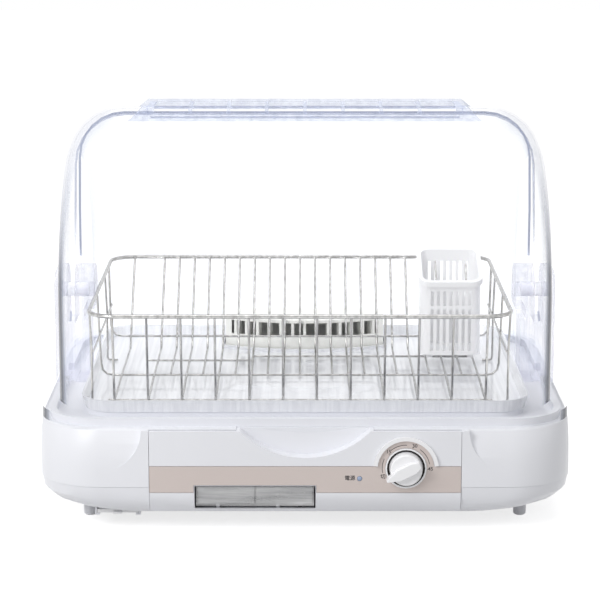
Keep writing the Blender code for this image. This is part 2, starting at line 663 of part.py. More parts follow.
def prism(name, outlines, plane, low, high, role="cutter"):
    """Flat outlines, the later ones holes in the first, given a thickness along the third axis."""
    curve = bpy.data.curves.new(name, "CURVE")
    curve.dimensions = "2D"
    curve.fill_mode = "BOTH"
    curve.extrude = (high - low) / 2
    for outline in outlines:
        spline = curve.splines.new("POLY")
        spline.points.add(len(outline) - 1)
        for point, (u, v) in zip(spline.points, outline):
            point.co = (u, v, 0, 1)
        spline.use_cyclic_u = True
    middle = (low + high) / 2
    if plane == "XZ":
        middle = -middle
    matrix = PLANES[plane] @ Matrix.Translation((0, 0, middle))
    return link(name, curve_mesh(curve, name, matrix), role)


def curve_mesh(curve, name, matrix):
    """The welded mesh of a curve, moved by a matrix."""
    holder = bpy.data.objects.new(name, curve)
    bpy.context.scene.collection.objects.link(holder)
    bpy.context.view_layer.update()
    evaluated = holder.evaluated_get(bpy.context.evaluated_depsgraph_get())
    mesh = bpy.data.meshes.new_from_object(evaluated)
    bpy.data.objects.remove(holder)
    bpy.data.curves.remove(curve)
    bm = bmesh.new()
    bm.from_mesh(mesh)
    bmesh.ops.remove_doubles(bm, verts=bm.verts, dist=WELD_DISTANCE)
    bmesh.ops.transform(bm, matrix=matrix, verts=bm.verts)
    bmesh.ops.recalc_face_normals(bm, faces=bm.faces)
    bm.to_mesh(mesh)
    bm.free()
    mesh.name = name
    return mesh


def tube(name, points, radius, role="cutter", sides=1, cyclic=False):
    """A round wire through points, with filled ends."""
    curve = bpy.data.curves.new(name, "CURVE")
    curve.dimensions = "3D"
    curve.bevel_depth = radius
    curve.bevel_resolution = sides
    curve.use_fill_caps = not cyclic
    spline = curve.splines.new("POLY")
    spline.points.add(len(points) - 1)
    for point, place in zip(spline.points, points):
        point.co = (*place, 1)
    spline.use_cyclic_u = cyclic
    return link(name, curve_mesh(curve, name, Matrix.Identity(4)), role)


def loft(name, rings, role="cutter"):
    """A closed solid skinned over rings that have as many points each."""
    bm = bmesh.new()
    rows = [[bm.verts.new(point) for point in ring] for ring in rings]
    count = len(rows[0])
    for lower, upper in zip(rows, rows[1:]):
        for i in range(count):
            j = (i + 1) % count
            bm.faces.new((lower[i], lower[j], upper[j], upper[i]))
    bm.faces.new(rows[0])
    bm.faces.new(rows[-1])
    return link(name, mesh_from(bm, name), role)


def turned(name, profile, centre, axis, steps, role="cutter"):
    """A profile of (radius, height) pairs turned with a Screw modifier and stood on an axis."""
    mesh = bpy.data.meshes.new(name)
    mesh.from_pydata([(r, 0, h) for r, h in profile], [(i, i + 1) for i in range(len(profile) - 1)], [])
    holder = bpy.data.objects.new(name, mesh)
    bpy.context.scene.collection.objects.link(holder)
    screw = holder.modifiers.new("turn", "SCREW")
    screw.steps = steps
    screw.render_steps = steps
    screw.use_merge_vertices = True
    screw.merge_threshold = WELD_DISTANCE
    bpy.context.view_layer.update()
    evaluated = holder.evaluated_get(bpy.context.evaluated_depsgraph_get())
    result = bpy.data.meshes.new_from_object(evaluated)
    bpy.data.objects.remove(holder)
    turn = Vector((0, 0, 1)).rotation_difference(Vector(axis)).to_matrix().to_4x4()
    bm = bmesh.new()
    bm.from_mesh(result)
    bmesh.ops.remove_doubles(bm, verts=bm.verts, dist=WELD_DISTANCE)
    bmesh.ops.transform(bm, matrix=Matrix.Translation(centre) @ turn, verts=bm.verts)
    bmesh.ops.recalc_face_normals(bm, faces=bm.faces)
    bm.to_mesh(result)
    bm.free()
    result.name = name
    return link(name, result, role)


def combine(target, tool, operation="DIFFERENCE"):
    """A live Boolean between a piece and a cutter."""
    modifier = target.modifiers.new(tool.name, "BOOLEAN")
    modifier.operation = operation
    modifier.solver = "EXACT"
    modifier.object = tool
    return target


def bevelled(shape, width, steps):
    """Round a solid's sharp edges in its mesh."""
    modifier = shape.modifiers.new("round", "BEVEL")
    modifier.width = width
    modifier.segments = steps
    modifier.limit_method = "ANGLE"
    modifier.angle_limit = math.radians(ROUND_ANGLE_DEG)
    modifier.use_clamp_overlap = False
    return shape


def finish(shape, material, origin=None):
    """Give a piece its material and smooth faces, and set its origin on its axis."""
    shape.data.materials.clear()
    shape.data.materials.append(materials[material])
    for polygon in shape.data.polygons:
        polygon.use_smooth = True
    shape.data.set_sharp_from_angle(angle=math.radians(SHARP_ANGLE_DEG))
    if origin is not None:
        shape.data.transform(Matrix.Translation(-Vector(origin)))
        shape.location = origin
    return shape


def arc(centre, radius, start, end, steps):
    """Points on an arc, in degrees, both ends included."""
    angles = [math.radians(start + (end - start) * i / steps) for i in range(steps + 1)]
    return [(centre[0] + radius * math.cos(a), centre[1] + radius * math.sin(a)) for a in angles]


def rounded_outline(half_width, front, back, radius, steps=OUTLINE_STEPS, middle=0.0):
    """A rectangle with round corners, in plan."""
    right, left = middle + half_width - radius, middle - half_width + radius
    points = arc((right, back - radius), radius, 0, 90, steps)
    points += arc((left, back - radius), radius, 90, 180, steps)
    points += arc((left, front + radius), radius, 180, 270, steps)
    points += arc((right, front + radius), radius, 270, 360, steps)
    return points


def at_height(outline, z):
    return [(x, y, z) for x, y in outline]


def base_ring(z, side_inset, front_inset, wall=0.0):
    """The base's outline at one height, inset at its sides and front."""
    inset = side_inset + wall
    outline = rounded_outline(BASE_HALF_WIDTH - inset, BASE_FRONT + front_inset + wall,
                              BASE_BACK - inset, BASE_CORNER - wall)
    return at_height(outline, z)


def pan_rings(wall, low, high):
    """The lower pan's rings, from bottom to top."""
    rings = []
    for height, inset in PAN_SHARES:
        z = FOOT_HEIGHT + height * (SPLIT_Z - FOOT_HEIGHT)
        side = inset * PAN_SIDE_INSET + PAN_RIM_STEP
        front = inset * PAN_FRONT_INSET + PAN_RIM_STEP
        if height == 0.0:
            z = low
        if height == 1.0:
            z = high
        rings.append(base_ring(z, side, front, wall))
    return rings


def case_rings(wall, low, high):
    """The upper case's rings, from the parting line to the deck."""
    rings = []
    for height, inset in CASE_SHARES:
        z = low + height * (high - low)
        rings.append(base_ring(z, inset * CASE_SIDE_LEAN, inset * CASE_FRONT_LEAN, wall))
    return rings


def bowed_outline(half_width, end_front, middle_front, back, corner, steps):
    """A plan outline with a bowed front and two round back corners."""
    bow = end_front - middle_front
    radius = (half_width ** 2 + bow ** 2) / (2 * bow)
    half_angle = math.degrees(math.asin(half_width / radius))
    points = arc((0, middle_front + radius), radius, 270 - half_angle, 270 + half_angle, steps)
    points += arc((half_width - corner, back - corner), corner, 0, 90, OUTLET_CORNER_STEPS)
    points += arc((-half_width + corner, back - corner), corner, 90, 180, OUTLET_CORNER_STEPS)
    return points


def make_lower_pan():
    pan = loft("lower_pan", pan_rings(0.0, FOOT_HEIGHT, SPLIT_Z), "part")
    inside = pan_rings(WALL, FOOT_HEIGHT + WALL, SPLIT_Z + OVERRUN)
    combine(pan, loft("pan_inside", inside))
    width = PANEL_HALF_WIDTH + PANEL_SIDE_GAP
    front = BASE_FRONT - OVERRUN
    combine(pan, box("pan_front_opening", (-width, front, PANEL_BOTTOM - GAP),
                     (width, PAN_CAVITY_BACK, SPLIT_Z + OVERRUN)))
    floor = FOOT_HEIGHT + WALL
    for i, x in enumerate(PAN_RIB_X):
        rib = box(f"cup_rib_{i}", (x, PAN_CAVITY_BACK + GAP, floor - WALL / 2),
                  (x + PAN_RIB_THICKNESS, PAN_RIB_BACK, CUP_BOTTOM - GAP))
        combine(pan, rib, "UNION")
    top = FOOT_HEIGHT
    slide_bottom = top - GAP - FILTER_THICKNESS - GAP
    for i, (edge, sign) in enumerate(((FILTER_LEFT_X, -1), (FILTER_RIGHT_X, 1))):
        outer = edge + sign * (GAP + FILTER_RAIL)
        wall = sorted((edge + sign * GAP, outer))
        rail = box(f"filter_rail_{i}", (wall[0], FILTER_FRONT, slide_bottom - FILTER_RAIL),
                   (wall[1], FILTER_BACK, top + WALL / 2))
        lip = sorted((edge - sign * FILTER_RAIL_LIP, outer))
        shelf = box(f"filter_lip_{i}", (lip[0], FILTER_FRONT + GAP, slide_bottom - FILTER_RAIL),
                    (lip[1], FILTER_BACK - GAP, slide_bottom))
        combine(rail, shelf, "UNION")
        combine(pan, rail, "UNION")
    length = FILTER_BACK - FILTER_FRONT - 2 * FILTER_FRAME
    pitch = length / INTAKE_SLOTS
    for i in range(INTAKE_SLOTS):
        y = FILTER_FRONT + FILTER_FRAME + (i + 0.5) * pitch
        combine(pan, box(f"intake_slot_{i}", (FILTER_LEFT_X + FILTER_FRAME, y - INTAKE_SLOT / 2, 0),
                         (FILTER_RIGHT_X - FILTER_FRAME, y + INTAKE_SLOT / 2, floor + OVERRUN)))
    finish(pan, "white_plastic")


def make_brow():
    """The flat front around the panel, whose ends are scooped away."""
    centre_x = BROW_HALF_WIDTH + BROW_SCOOP
    top = DECK_Z - GAP
    low = DECK_Z - BROW_SCOOP
    right = [(centre_x, low)] + arc((centre_x, DECK_Z), BROW_SCOOP, BROW_LOW_DEG, BROW_HIGH_DEG, BROW_STEPS)
    left = [(-x, z) for x, z in reversed(right)]
    outline = right + [(BROW_HALF_WIDTH, top), (-BROW_HALF_WIDTH, top)] + left
    return prism("brow", [outline], "XZ", BASE_FRONT + BROW_SINK, BASE_FRONT + BROW_DEPTH)


def pocket_outline(extra, top):
    """The finger pocket's outline in the front view, wider by extra all round."""
    radius = (POCKET_HALF_WIDTH ** 2 + POCKET_DROP ** 2) / (2 * POCKET_DROP)
    centre_z = PANEL_TOP - POCKET_DROP + radius
    wide = radius + extra
    half_angle = math.degrees(math.acos((centre_z - PANEL_TOP) / wide))
    points = arc((0, centre_z), wide, 270 - half_angle, 270 + half_angle, POCKET_STEPS)
    if top > PANEL_TOP:
        points += [(points[-1][0], top), (points[0][0], top)]
    return points


def deck_outline():
    """The raised deck that the drain tray stands on."""
    inset = TRAY_DRAFT + INNER_DECK_MARGIN
    return rounded_outline(TRAY_HALF_WIDTH - inset, TRAY_FRONT + inset, TRAY_BACK - inset,
                           TRAY_CORNER - inset)


def ring_outlines(half_width, front, back, radius, width):
    outer = rounded_outline(half_width, front, back, radius)
    inner = rounded_outline(half_width - width, front + width, back - width, radius - width)
    return [outer, inner]


def make_upper_case():
    low = SPLIT_Z + GAP
    case = loft("upper_case", case_rings(0.0, low, DECK_Z), "part")
    combine(case, make_brow(), "UNION")
    combine(case, loft("case_inside", case_rings(WALL, low - OVERRUN, DECK_Z - WALL)))
    deck_top = DECK_Z + INNER_DECK_RISE
    combine(case, prism("inner_deck", [deck_outline()], "XY", DECK_Z - WALL / 2, deck_top), "UNION")
    inset = TRAY_DRAFT + INNER_DECK_MARGIN + WALL
    hollow = rounded_outline(TRAY_HALF_WIDTH - inset, TRAY_FRONT + inset, TRAY_BACK - inset,
                             TRAY_CORNER - inset)
    combine(case, prism("inner_deck_hollow", [hollow], "XY", DECK_Z - WALL - OVERRUN, deck_top - WALL))
    edge = FLANGE_THICKNESS + RIDGE_INSET
    ridge = prism("locating_ridge",
                  ring_outlines(FLANGE_HALF_WIDTH - edge, FLANGE_FRONT + edge, FLANGE_BACK - edge,
                                FLANGE_CORNER - edge, RIDGE_WIDTH),
                  "XY", DECK_Z - WALL / 2, DECK_Z + RIDGE_HEIGHT)
    reach = BASE_HALF_WIDTH + OVERRUN
    combine(ridge, box("ridge_gap", (-reach, BRACKET_FRONT - WALL, DECK_Z - WALL),
                       (reach, BRACKET_BACK + WALL, DECK_Z + RIDGE_HEIGHT + OVERRUN)))
    combine(case, ridge, "UNION")
    width = PANEL_HALF_WIDTH + PANEL_SIDE_GAP
    front = BASE_FRONT - OVERRUN
    combine(case, box("case_front_opening", (-width, front, low - OVERRUN),
                      (width, PANEL_CAVITY_BACK, DECK_Z + OVERRUN)))
    pocket = pocket_outline(POCKET_WALL + PANEL_SIDE_GAP, DECK_Z + WALL)
    deep = POCKET_BACK + POCKET_WALL + PANEL_SIDE_GAP
    combine(case, prism("pocket_clearance", [pocket], "XZ", front, deep))
    combine(case, box("outlet_throat", (-DUCT_THROAT_HALF, DUCT_THROAT_FRONT, DECK_Z - WALL - OVERRUN),
                      (DUCT_THROAT_HALF, DUCT_BACK - DUCT_WALL, deck_top + OVERRUN)))
    drain = (TRAY_DRAIN_X, TRAY_DRAIN_Y)
    combine(case, cylinder("deck_drain_hole", TRAY_DRAIN_RADIUS + 2 * TRAY_WALL,
                           (*drain, DECK_Z - WALL - OVERRUN), (*drain, deck_top + OVERRUN)))
    wall_out = BASE_BACK
    combine(case, cylinder("gland_hole", GLAND_NECK + GAP, (GLAND_X, wall_out - WALL - OVERRUN, GLAND_Z),
                           (GLAND_X, wall_out + OVERRUN, GLAND_Z)))
    combine(case, cylinder("gland_recess", GLAND_HEAD + GAP, (GLAND_X, wall_out - GLAND_RECESS, GLAND_Z),
                           (GLAND_X, wall_out + OVERRUN, GLAND_Z)))
    finish(case, "white_plastic")


def make_front_panel():
    face, back = BASE_FRONT, BASE_FRONT + PANEL_THICKNESS
    lean = PANEL_LIP_LEAN
    outline = [(face, PANEL_TOP), (face, PANEL_LIP_TOP), (face + lean, PANEL_LIP_BOTTOM),
               (PANEL_BOTTOM_Y, PANEL_BOTTOM), (PANEL_BOTTOM_Y + PANEL_THICKNESS, PANEL_BOTTOM),
               (back + lean, PANEL_LIP_BOTTOM), (back, PANEL_LIP_TOP), (back, PANEL_TOP)]
    panel = prism("front_panel", [outline], "YZ", -PANEL_HALF_WIDTH, PANEL_HALF_WIDTH, "part")
    shell = prism("pocket_shell", [pocket_outline(POCKET_WALL, PANEL_TOP)], "XZ",
                  BASE_FRONT + PANEL_THICKNESS / 2, POCKET_BACK + POCKET_WALL)
    combine(panel, shell, "UNION")
    combine(panel, prism("pocket", [pocket_outline(0.0, PANEL_TOP + OVERRUN)], "XZ",
                         BASE_FRONT - OVERRUN, POCKET_BACK))
    depth = ACCENT_THICKNESS + GAP
    combine(panel, prism("accent_recess", [accent_outline(ACCENT_MARGIN)], "XZ",
                         BASE_FRONT - OVERRUN, BASE_FRONT + depth))
    margin = CUP_OPENING_MARGIN
    combine(panel, box("cup_opening", (CUP_LEFT - margin, BASE_FRONT - OVERRUN, CUP_OPENING_BOTTOM),
                       (CUP_RIGHT + margin, POCKET_BACK, CUP_TOP + margin)))
    combine(panel, cylinder("knob_hole", KNOB_RADIUS + COLLAR_PROUD, (DIAL_X, BASE_FRONT - OVERRUN, DIAL_Z),
                            (DIAL_X, BASE_FRONT + depth + WALL / 4, DIAL_Z), DIAL_STEPS))
    combine(panel, cylinder("knob_shaft_hole", KNOB_SHAFT_RADIUS + GAP + GAP,
                            (DIAL_X, BASE_FRONT - OVERRUN, DIAL_Z), (DIAL_X, back + OVERRUN, DIAL_Z)))
    combine(panel, cylinder("lamp_hole", LAMP_RADIUS + GAP, (LAMP_X, BASE_FRONT - OVERRUN, LAMP_Z),
                            (LAMP_X, back + OVERRUN, LAMP_Z), LAMP_STEPS))
    finish(panel, "white_plastic")


def accent_outline(extra):
    """The accent band with the dial's arch above it and the cup's notch below it."""
    left, right = -PANEL_HALF_WIDTH - extra, PANEL_HALF_WIDTH + extra
    top, bottom = ACCENT_TOP + extra, ACCENT_BOTTOM - extra
    radius = DIAL_RADIUS + extra
    rise = math.degrees(math.asin((top - DIAL_Z) / radius))
    arch = arc((DIAL_X, DIAL_Z), radius, 180 - rise, rise, DIAL_STEPS)
    margin = CUP_OPENING_MARGIN + 2 * ACCENT_MARGIN - extra
    notch = [(CUP_RIGHT + margin, bottom), (CUP_RIGHT + margin, CUP_TOP + margin),
             (CUP_LEFT - margin, CUP_TOP + margin), (CUP_LEFT - margin, bottom)]
    return [(left, bottom), (left, top)] + arch + [(right, top), (right, bottom)] + notch


def make_accent_band():
    hole = arc((DIAL_X, DIAL_Z), COLLAR_OUTER + GAP, 0, 360 - 360 / DIAL_STEPS, DIAL_STEPS - 1)
    lamp = arc((LAMP_X, LAMP_Z), LAMP_RADIUS + GAP, 0, 360 - 360 / 16, 15)
    band = prism("accent_band", [accent_outline(0.0), hole, lamp], "XZ", BASE_FRONT,
                 BASE_FRONT + ACCENT_THICKNESS, "part")
    finish(band, "accent_plastic")


def make_dial():
    seat = BASE_FRONT + ACCENT_THICKNESS
    centre = (DIAL_X, DIAL_Z)
    outer = arc(centre, COLLAR_OUTER, 0, 360 - 360 / DIAL_STEPS, DIAL_STEPS - 1)
    inner = arc(centre, COLLAR_INNER, 0, 360 - 360 / DIAL_STEPS, DIAL_STEPS - 1)
    collar = prism("dial_collar", [outer, inner], "XZ", BASE_FRONT - COLLAR_PROUD, seat, "part")
    finish(collar, "white_plastic")
    rise = math.degrees(math.asin((ACCENT_TOP + 2 * ACCENT_MARGIN - DIAL_Z) / BEZEL_INNER))
    ring = arc(centre, BEZEL_OUTER, rise, 180 - rise, DIAL_STEPS)
    ring += arc(centre, BEZEL_INNER, 180 - rise, rise, DIAL_STEPS)
    bezel = prism("dial_bezel", [ring], "XZ", BASE_FRONT - GAP - BEZEL_PROUD, BASE_FRONT - GAP, "part")
    finish(bezel, "white_plastic")


def make_timer_knob():
    back = BASE_FRONT - KNOB_BACK_GAP
    profile = [(0, KNOB_FACE), (KNOB_RADIUS - KNOB_DRAFT - KNOB_EDGE, KNOB_FACE),
               (KNOB_RADIUS - KNOB_DRAFT, KNOB_FACE - KNOB_EDGE), (KNOB_RADIUS, 0), (0, 0)]
    knob = turned("timer_knob", profile, (DIAL_X, back, DIAL_Z), (0, -1, 0), DIAL_STEPS, "part")
    half, tip = KNOB_RIDGE_HALF, KNOB_RIDGE_TIP
    grip = [(KNOB_POINTER, -tip / 2), (KNOB_POINTER, tip / 2), (KNOB_POINTER / 3, half),
            (-KNOB_TAIL / 2, half), (-KNOB_TAIL, half / 2), (-KNOB_TAIL, -half / 2),
            (-KNOB_TAIL / 2, -half), (KNOB_POINTER / 3, -half)]
    turn = math.radians(KNOB_OFF_DEG)
    outline = [(DIAL_X + u * math.cos(turn) - v * math.sin(turn),
                DIAL_Z + u * math.sin(turn) + v * math.cos(turn)) for u, v in grip]
    ridge = prism("knob_ridge", [outline], "XZ", KNOB_FRONT, back - KNOB_RIDGE_START)
    combine(knob, bevelled(ridge, KNOB_EDGE / 2, 1), "UNION")
    shaft = cylinder("knob_shaft", KNOB_SHAFT_RADIUS, (DIAL_X, back - KNOB_FACE / 2, DIAL_Z),
                     (DIAL_X, BASE_FRONT + PANEL_THICKNESS + KNOB_SHAFT_REACH, DIAL_Z), KNOB_SHAFT_STEPS)
    combine(knob, shaft, "UNION")
    finish(knob, "white_plastic", (DIAL_X, back, DIAL_Z))


def make_timer_body():
    front = BASE_FRONT + PANEL_THICKNESS + GAP
    plate, half = TIMER_PLATE_HALF, TIMER_HALF
    body = box("timer_body", (DIAL_X - half, front + TIMER_BOLT_PLATE / 2, DIAL_Z - half),
               (DIAL_X + half, front + TIMER_DEPTH, DIAL_Z + half), "part")
    combine(body, box("timer_plate", (DIAL_X - plate, front, DIAL_Z - half / 2),
                      (DIAL_X + plate, front + TIMER_BOLT_PLATE, DIAL_Z + half / 2)), "UNION")
    combine(body, cylinder("timer_bore", KNOB_SHAFT_RADIUS + GAP, (DIAL_X, front - OVERRUN, DIAL_Z),
                           (DIAL_X, front + KNOB_SHAFT_REACH + WALL, DIAL_Z), KNOB_SHAFT_STEPS))
    finish(body, "grey_plastic")


def make_power_lamp():
    dome = (LAMP_RADIUS * LAMP_DOME_SHARE, LAMP_PROUD * LAMP_RIM_SHARE)
    profile = [(0, LAMP_PROUD), dome, (LAMP_RADIUS, 0),
               (LAMP_RADIUS, -LAMP_DEPTH), (0, -LAMP_DEPTH)]
    lamp = turned("power_lamp", profile, (LAMP_X, BASE_FRONT, LAMP_Z), (0, -1, 0), LAMP_STEPS, "part")
    finish(lamp, "lamp_plastic")


def make_feet():
    for side, x in (("left", -FOOT_X), ("right", FOOT_X)):
        for end, y in (("front", FOOT_FRONT_Y), ("rear", FOOT_BACK_Y)):
            profile = [(0, FOOT_HEIGHT - GAP), (FOOT_RADIUS + FOOT_TOE / 2, FOOT_HEIGHT - GAP),
                       (FOOT_RADIUS, FOOT_TOE), (FOOT_RADIUS - FOOT_TOE, 0), (0, 0)]
            foot = turned(f"foot_{end}_{side}", profile, (x, y, 0), (0, 0, 1), FOOT_STEPS, "part")
            finish(foot, "white_plastic")


def make_drain_cup():
    cup = box("drain_cup", (CUP_LEFT, CUP_FRONT, CUP_BOTTOM), (CUP_RIGHT, CUP_BACK, CUP_TOP), "part")
    wall, half = CUP_WALL, CUP_WALL / 2
    floor = CUP_BOTTOM + wall
    top = CUP_TOP + OVERRUN
    combine(cup, box("cup_left_well", (CUP_LEFT + wall, CUP_FRONT + wall, floor),
                     (CUP_DIVIDER_X - half, CUP_BACK - wall, top)))
    combine(cup, box("cup_right_well", (CUP_DIVIDER_X + half, CUP_FRONT + wall, floor),
                     (CUP_RIGHT - wall, CUP_BACK - wall, top)))
    combine(cup, box("cup_divider_notch", (CUP_DIVIDER_X - wall, (CUP_FRONT + CUP_BACK) / 2, floor + wall),
                     (CUP_DIVIDER_X + wall, CUP_BACK - wall, top)))
    combine(cup, cylinder("cup_plug_hole", PLUG_HOLE, (PLUG_X, PLUG_Y, CUP_BOTTOM - OVERRUN),
                          (PLUG_X, PLUG_Y, floor + wall), PLUG_STEPS))
    finish(cup, "clear_plastic")


def make_drain_plug():
    seat = CUP_BOTTOM + CUP_WALL + GAP
    neck = PLUG_HOLE - GAP
    top = CUP_TOP - GAP
    pitch = (top - seat) / PLUG_RIBS
    profile = [(0, top)]
    for i in range(PLUG_RIBS):
        high = top - i * pitch
        profile += [(PLUG_RADIUS - PLUG_RIB, high), (PLUG_RADIUS, high - pitch / 4),
                    (PLUG_RADIUS, high - 3 * pitch / 4), (PLUG_RADIUS - PLUG_RIB, high - pitch)]
    del profile[5::4]
    bottom = CUP_BOTTOM - PLUG_NOSE
    profile += [(neck, seat), (neck, bottom + PLUG_NOSE / 2), (neck / 2, bottom), (0, bottom)]
    plug = turned("drain_plug", profile, (PLUG_X, PLUG_Y, 0), (0, 0, 1), PLUG_STEPS, "part")
    finish(plug, "black_rubber")


def make_intake_filter():
    top = FOOT_HEIGHT - GAP
    bottom = top - FILTER_THICKNESS
    frame = box("intake_filter", (FILTER_LEFT_X, FILTER_FRONT, bottom), (FILTER_RIGHT_X, FILTER_BACK, top),
                "part")
    left, right = FILTER_LEFT_X + FILTER_FRAME, FILTER_RIGHT_X - FILTER_FRAME
    front, back = FILTER_FRONT + FILTER_FRAME, FILTER_BACK - FILTER_FRAME
    combine(frame, box("filter_window", (left, front, bottom - OVERRUN), (right, back, top + OVERRUN)))
    middle = (top + bottom) / 2
    low, high = middle - FILTER_BAR_HEIGHT / 2, middle + FILTER_BAR_HEIGHT / 2
    half = FILTER_BAR / 2
    bars = []
    for i in range(1, FILTER_BARS):
        x = left + (right - left) * i / FILTER_BARS
        ends = ((x - half, front - half, low), (x + half, back + half, high))
        bars.append(box(f"filter_long_bar_{i}", *ends))
    for i in range(1, 2 * FILTER_BARS):
        y = front + (back - front) * i / (2 * FILTER_BARS)
        bars.append(box(f"filter_cross_bar_{i}", (left - half, y - half, low + half / 2),
                        (right + half, y + half, high - half / 2)))
    centre = (left + right) / 2
    bars.append(box("filter_tab", (centre - FILTER_FRAME, FILTER_FRONT - FILTER_TAB, bottom),
                    (centre + FILTER_FRAME, front - half, middle)))
    for bar in bars:
        combine(frame, bar, "UNION")
    finish(frame, "grey_plastic")


def dome_rings(half_width, radius, front, back, corner, low):
    """Side profiles of a round-topped hood, smaller where its corners turn in."""
    rings = []
    for side in (-1, 1):
        turns = range(HOOD_CORNER_STEPS + 1)
        for i in turns if side < 0 else reversed(turns):
            angle = math.radians(90 * i / HOOD_CORNER_STEPS)
            inset = corner * (1 - math.sin(angle))
            x = side * (half_width - corner * (1 - math.cos(angle)))
            reach = radius - inset
            profile = arc((PIVOT_Y, PIVOT_Z), reach, 180, 0, HOOD_ARC_STEPS)
            profile = [(front + inset, low)] + profile + [(back - inset, low)]
            rings.append([(x, y, z) for y, z in profile])
    return rings


def dome_solid(name, half_width, radius, corner, inset, low, role="cutter"):
    front, back = PIVOT_Y - radius + inset, PIVOT_Y + radius - inset
    rings = dome_rings(half_width - inset, radius - inset, front, back, corner - inset, low)
    return loft(name, rings, role)


def from_pivot(degrees, distance):
    """A place in the side view, by its angle past the top and its distance from the pivot."""
    angle = math.radians(degrees)
    return (PIVOT_Y + distance * math.sin(angle), PIVOT_Z + distance * math.cos(angle))


def flange_solid(name, front, back):
    """The hood's flange: a plate with a skirt, between two places along Y."""
    flange = prism(name, [rounded_outline(FLANGE_HALF_WIDTH, FLANGE_FRONT, FLANGE_BACK, FLANGE_CORNER)],
                   "XY", HOOD_BOTTOM, FLANGE_TOP)
    inset = FLANGE_THICKNESS
    inner = rounded_outline(FLANGE_HALF_WIDTH - inset, FLANGE_FRONT + inset, FLANGE_BACK - inset,
                            FLANGE_CORNER - inset)
    combine(flange, prism(name + "_hollow", [inner], "XY", HOOD_BOTTOM - OVERRUN,
                          FLANGE_TOP - FLANGE_THICKNESS))
    reach = FLANGE_HALF_WIDTH + OVERRUN
    combine(flange, box(name + "_keep", (-reach, front, HOOD_BOTTOM - OVERRUN),
                        (reach, back, FLANGE_TOP + OVERRUN)), "INTERSECT")
    return flange


def make_front_hood():
    low = FLANGE_TOP - FLANGE_THICKNESS
    far = HOOD_RADIUS + 2 * OVERRUN
    hood = dome_solid("front_hood", HOOD_HALF_WIDTH, HOOD_RADIUS, HOOD_CORNER, 0.0, low, "part")
    combine(hood, flange_solid("front_flange", FLANGE_FRONT - OVERRUN, HOOD_TAIL_Y), "UNION")
    combine(hood, dome_solid("front_hood_inside", HOOD_HALF_WIDTH, HOOD_RADIUS, HOOD_CORNER, HOOD_WALL,
                             low - OVERRUN))
    front = PIVOT_Y - far - HOOD_CORNER
    under = HOOD_BOTTOM - OVERRUN
    top = PIVOT_Z + far
    boss = arc((PIVOT_Y, PIVOT_Z), HOOD_BOSS_RADIUS, HOOD_BOSS_START_DEG, 360, BRACKET_STEPS)
    keep = [(front, under), (HOOD_TAIL_Y, under), (HOOD_TAIL_Y, PIVOT_Z - HOOD_BOSS_RADIUS)]
    keep += boss + [from_pivot(HOOD_TRAIL_DEG, far), (from_pivot(HOOD_TRAIL_DEG, far)[0], top),
                    (front, top)]
    reach = FLANGE_HALF_WIDTH + OVERRUN
    combine(hood, prism("front_hood_keep", [keep], "YZ", -reach, reach), "INTERSECT")
    slot_front, slot_back = VENT_TOP_FRONT - VENT_THROAT_MARGIN, VENT_SLOT_BACK + VENT_THROAT_MARGIN
    throat = VENT_CELLS * VENT_CELL_PITCH / 2 + VENT_BAR / 2
    combine(hood, box("roof_opening", (-throat, slot_front, PIVOT_Z + HOOD_RADIUS / 2),
                      (throat, slot_back, top)))
    combine(hood, cylinder("hood_pin_hole", PIN_RADIUS + PIN_PLAY, (-reach, PIVOT_Y, PIVOT_Z),
                           (reach, PIVOT_Y, PIVOT_Z), PIN_STEPS))
    combine(hood, make_grip_lip(), "UNION")
    finish(hood, "clear_plastic", (0, PIVOT_Y, PIVOT_Z))


def make_grip_lip():
    """The small smile-shaped lip that hangs from the front flange into the finger pocket."""
    radius = (LIP_HALF_WIDTH ** 2 + LIP_DROP ** 2) / (2 * LIP_DROP)
    half_angle = math.degrees(math.asin(LIP_HALF_WIDTH / radius))
    centre_z = HOOD_BOTTOM - LIP_DROP + radius
    outline = arc((0, centre_z), radius, 270 - half_angle, 270 + half_angle, LIP_STEPS)
    seat = HOOD_BOTTOM + LIP_THICKNESS
    outline += [(LIP_HALF_WIDTH, seat), (-LIP_HALF_WIDTH, seat)]
    front = FLANGE_FRONT + LIP_SETBACK
    return prism("grip_lip", [outline], "XZ", front, FLANGE_FRONT + LIP_THICKNESS)


def make_rear_cover():
    low = FLANGE_TOP - FLANGE_THICKNESS
    cover = dome_solid("rear_cover", REAR_HALF_WIDTH, REAR_RADIUS, REAR_CORNER, 0.0, low, "part")
    combine(cover, flange_solid("rear_flange", REAR_HEAD_Y, FLANGE_BACK + OVERRUN), "UNION")
    combine(cover, dome_solid("rear_cover_inside", REAR_HALF_WIDTH, REAR_RADIUS, REAR_CORNER, HOOD_WALL,
                              low - OVERRUN))
    far = REAR_RADIUS + 2 * OVERRUN
    under = HOOD_BOTTOM - OVERRUN
    meet = PIVOT_Z + (REAR_STEP_Y - PIVOT_Y) / math.tan(math.radians(REAR_LEAD_DEG))
    lead = from_pivot(REAR_LEAD_DEG, far)
    back = FLANGE_BACK + 2 * OVERRUN
    keep = [(REAR_HEAD_Y, under), (REAR_HEAD_Y, REAR_STEP_Z), (REAR_STEP_Y, REAR_STEP_Z),
            (REAR_STEP_Y, meet), lead, (back, lead[1]), (back, under)]
    reach = FLANGE_HALF_WIDTH + OVERRUN
    combine(cover, prism("rear_cover_keep", [keep], "YZ", -reach, reach), "INTERSECT")
    finish(cover, "clear_plastic")


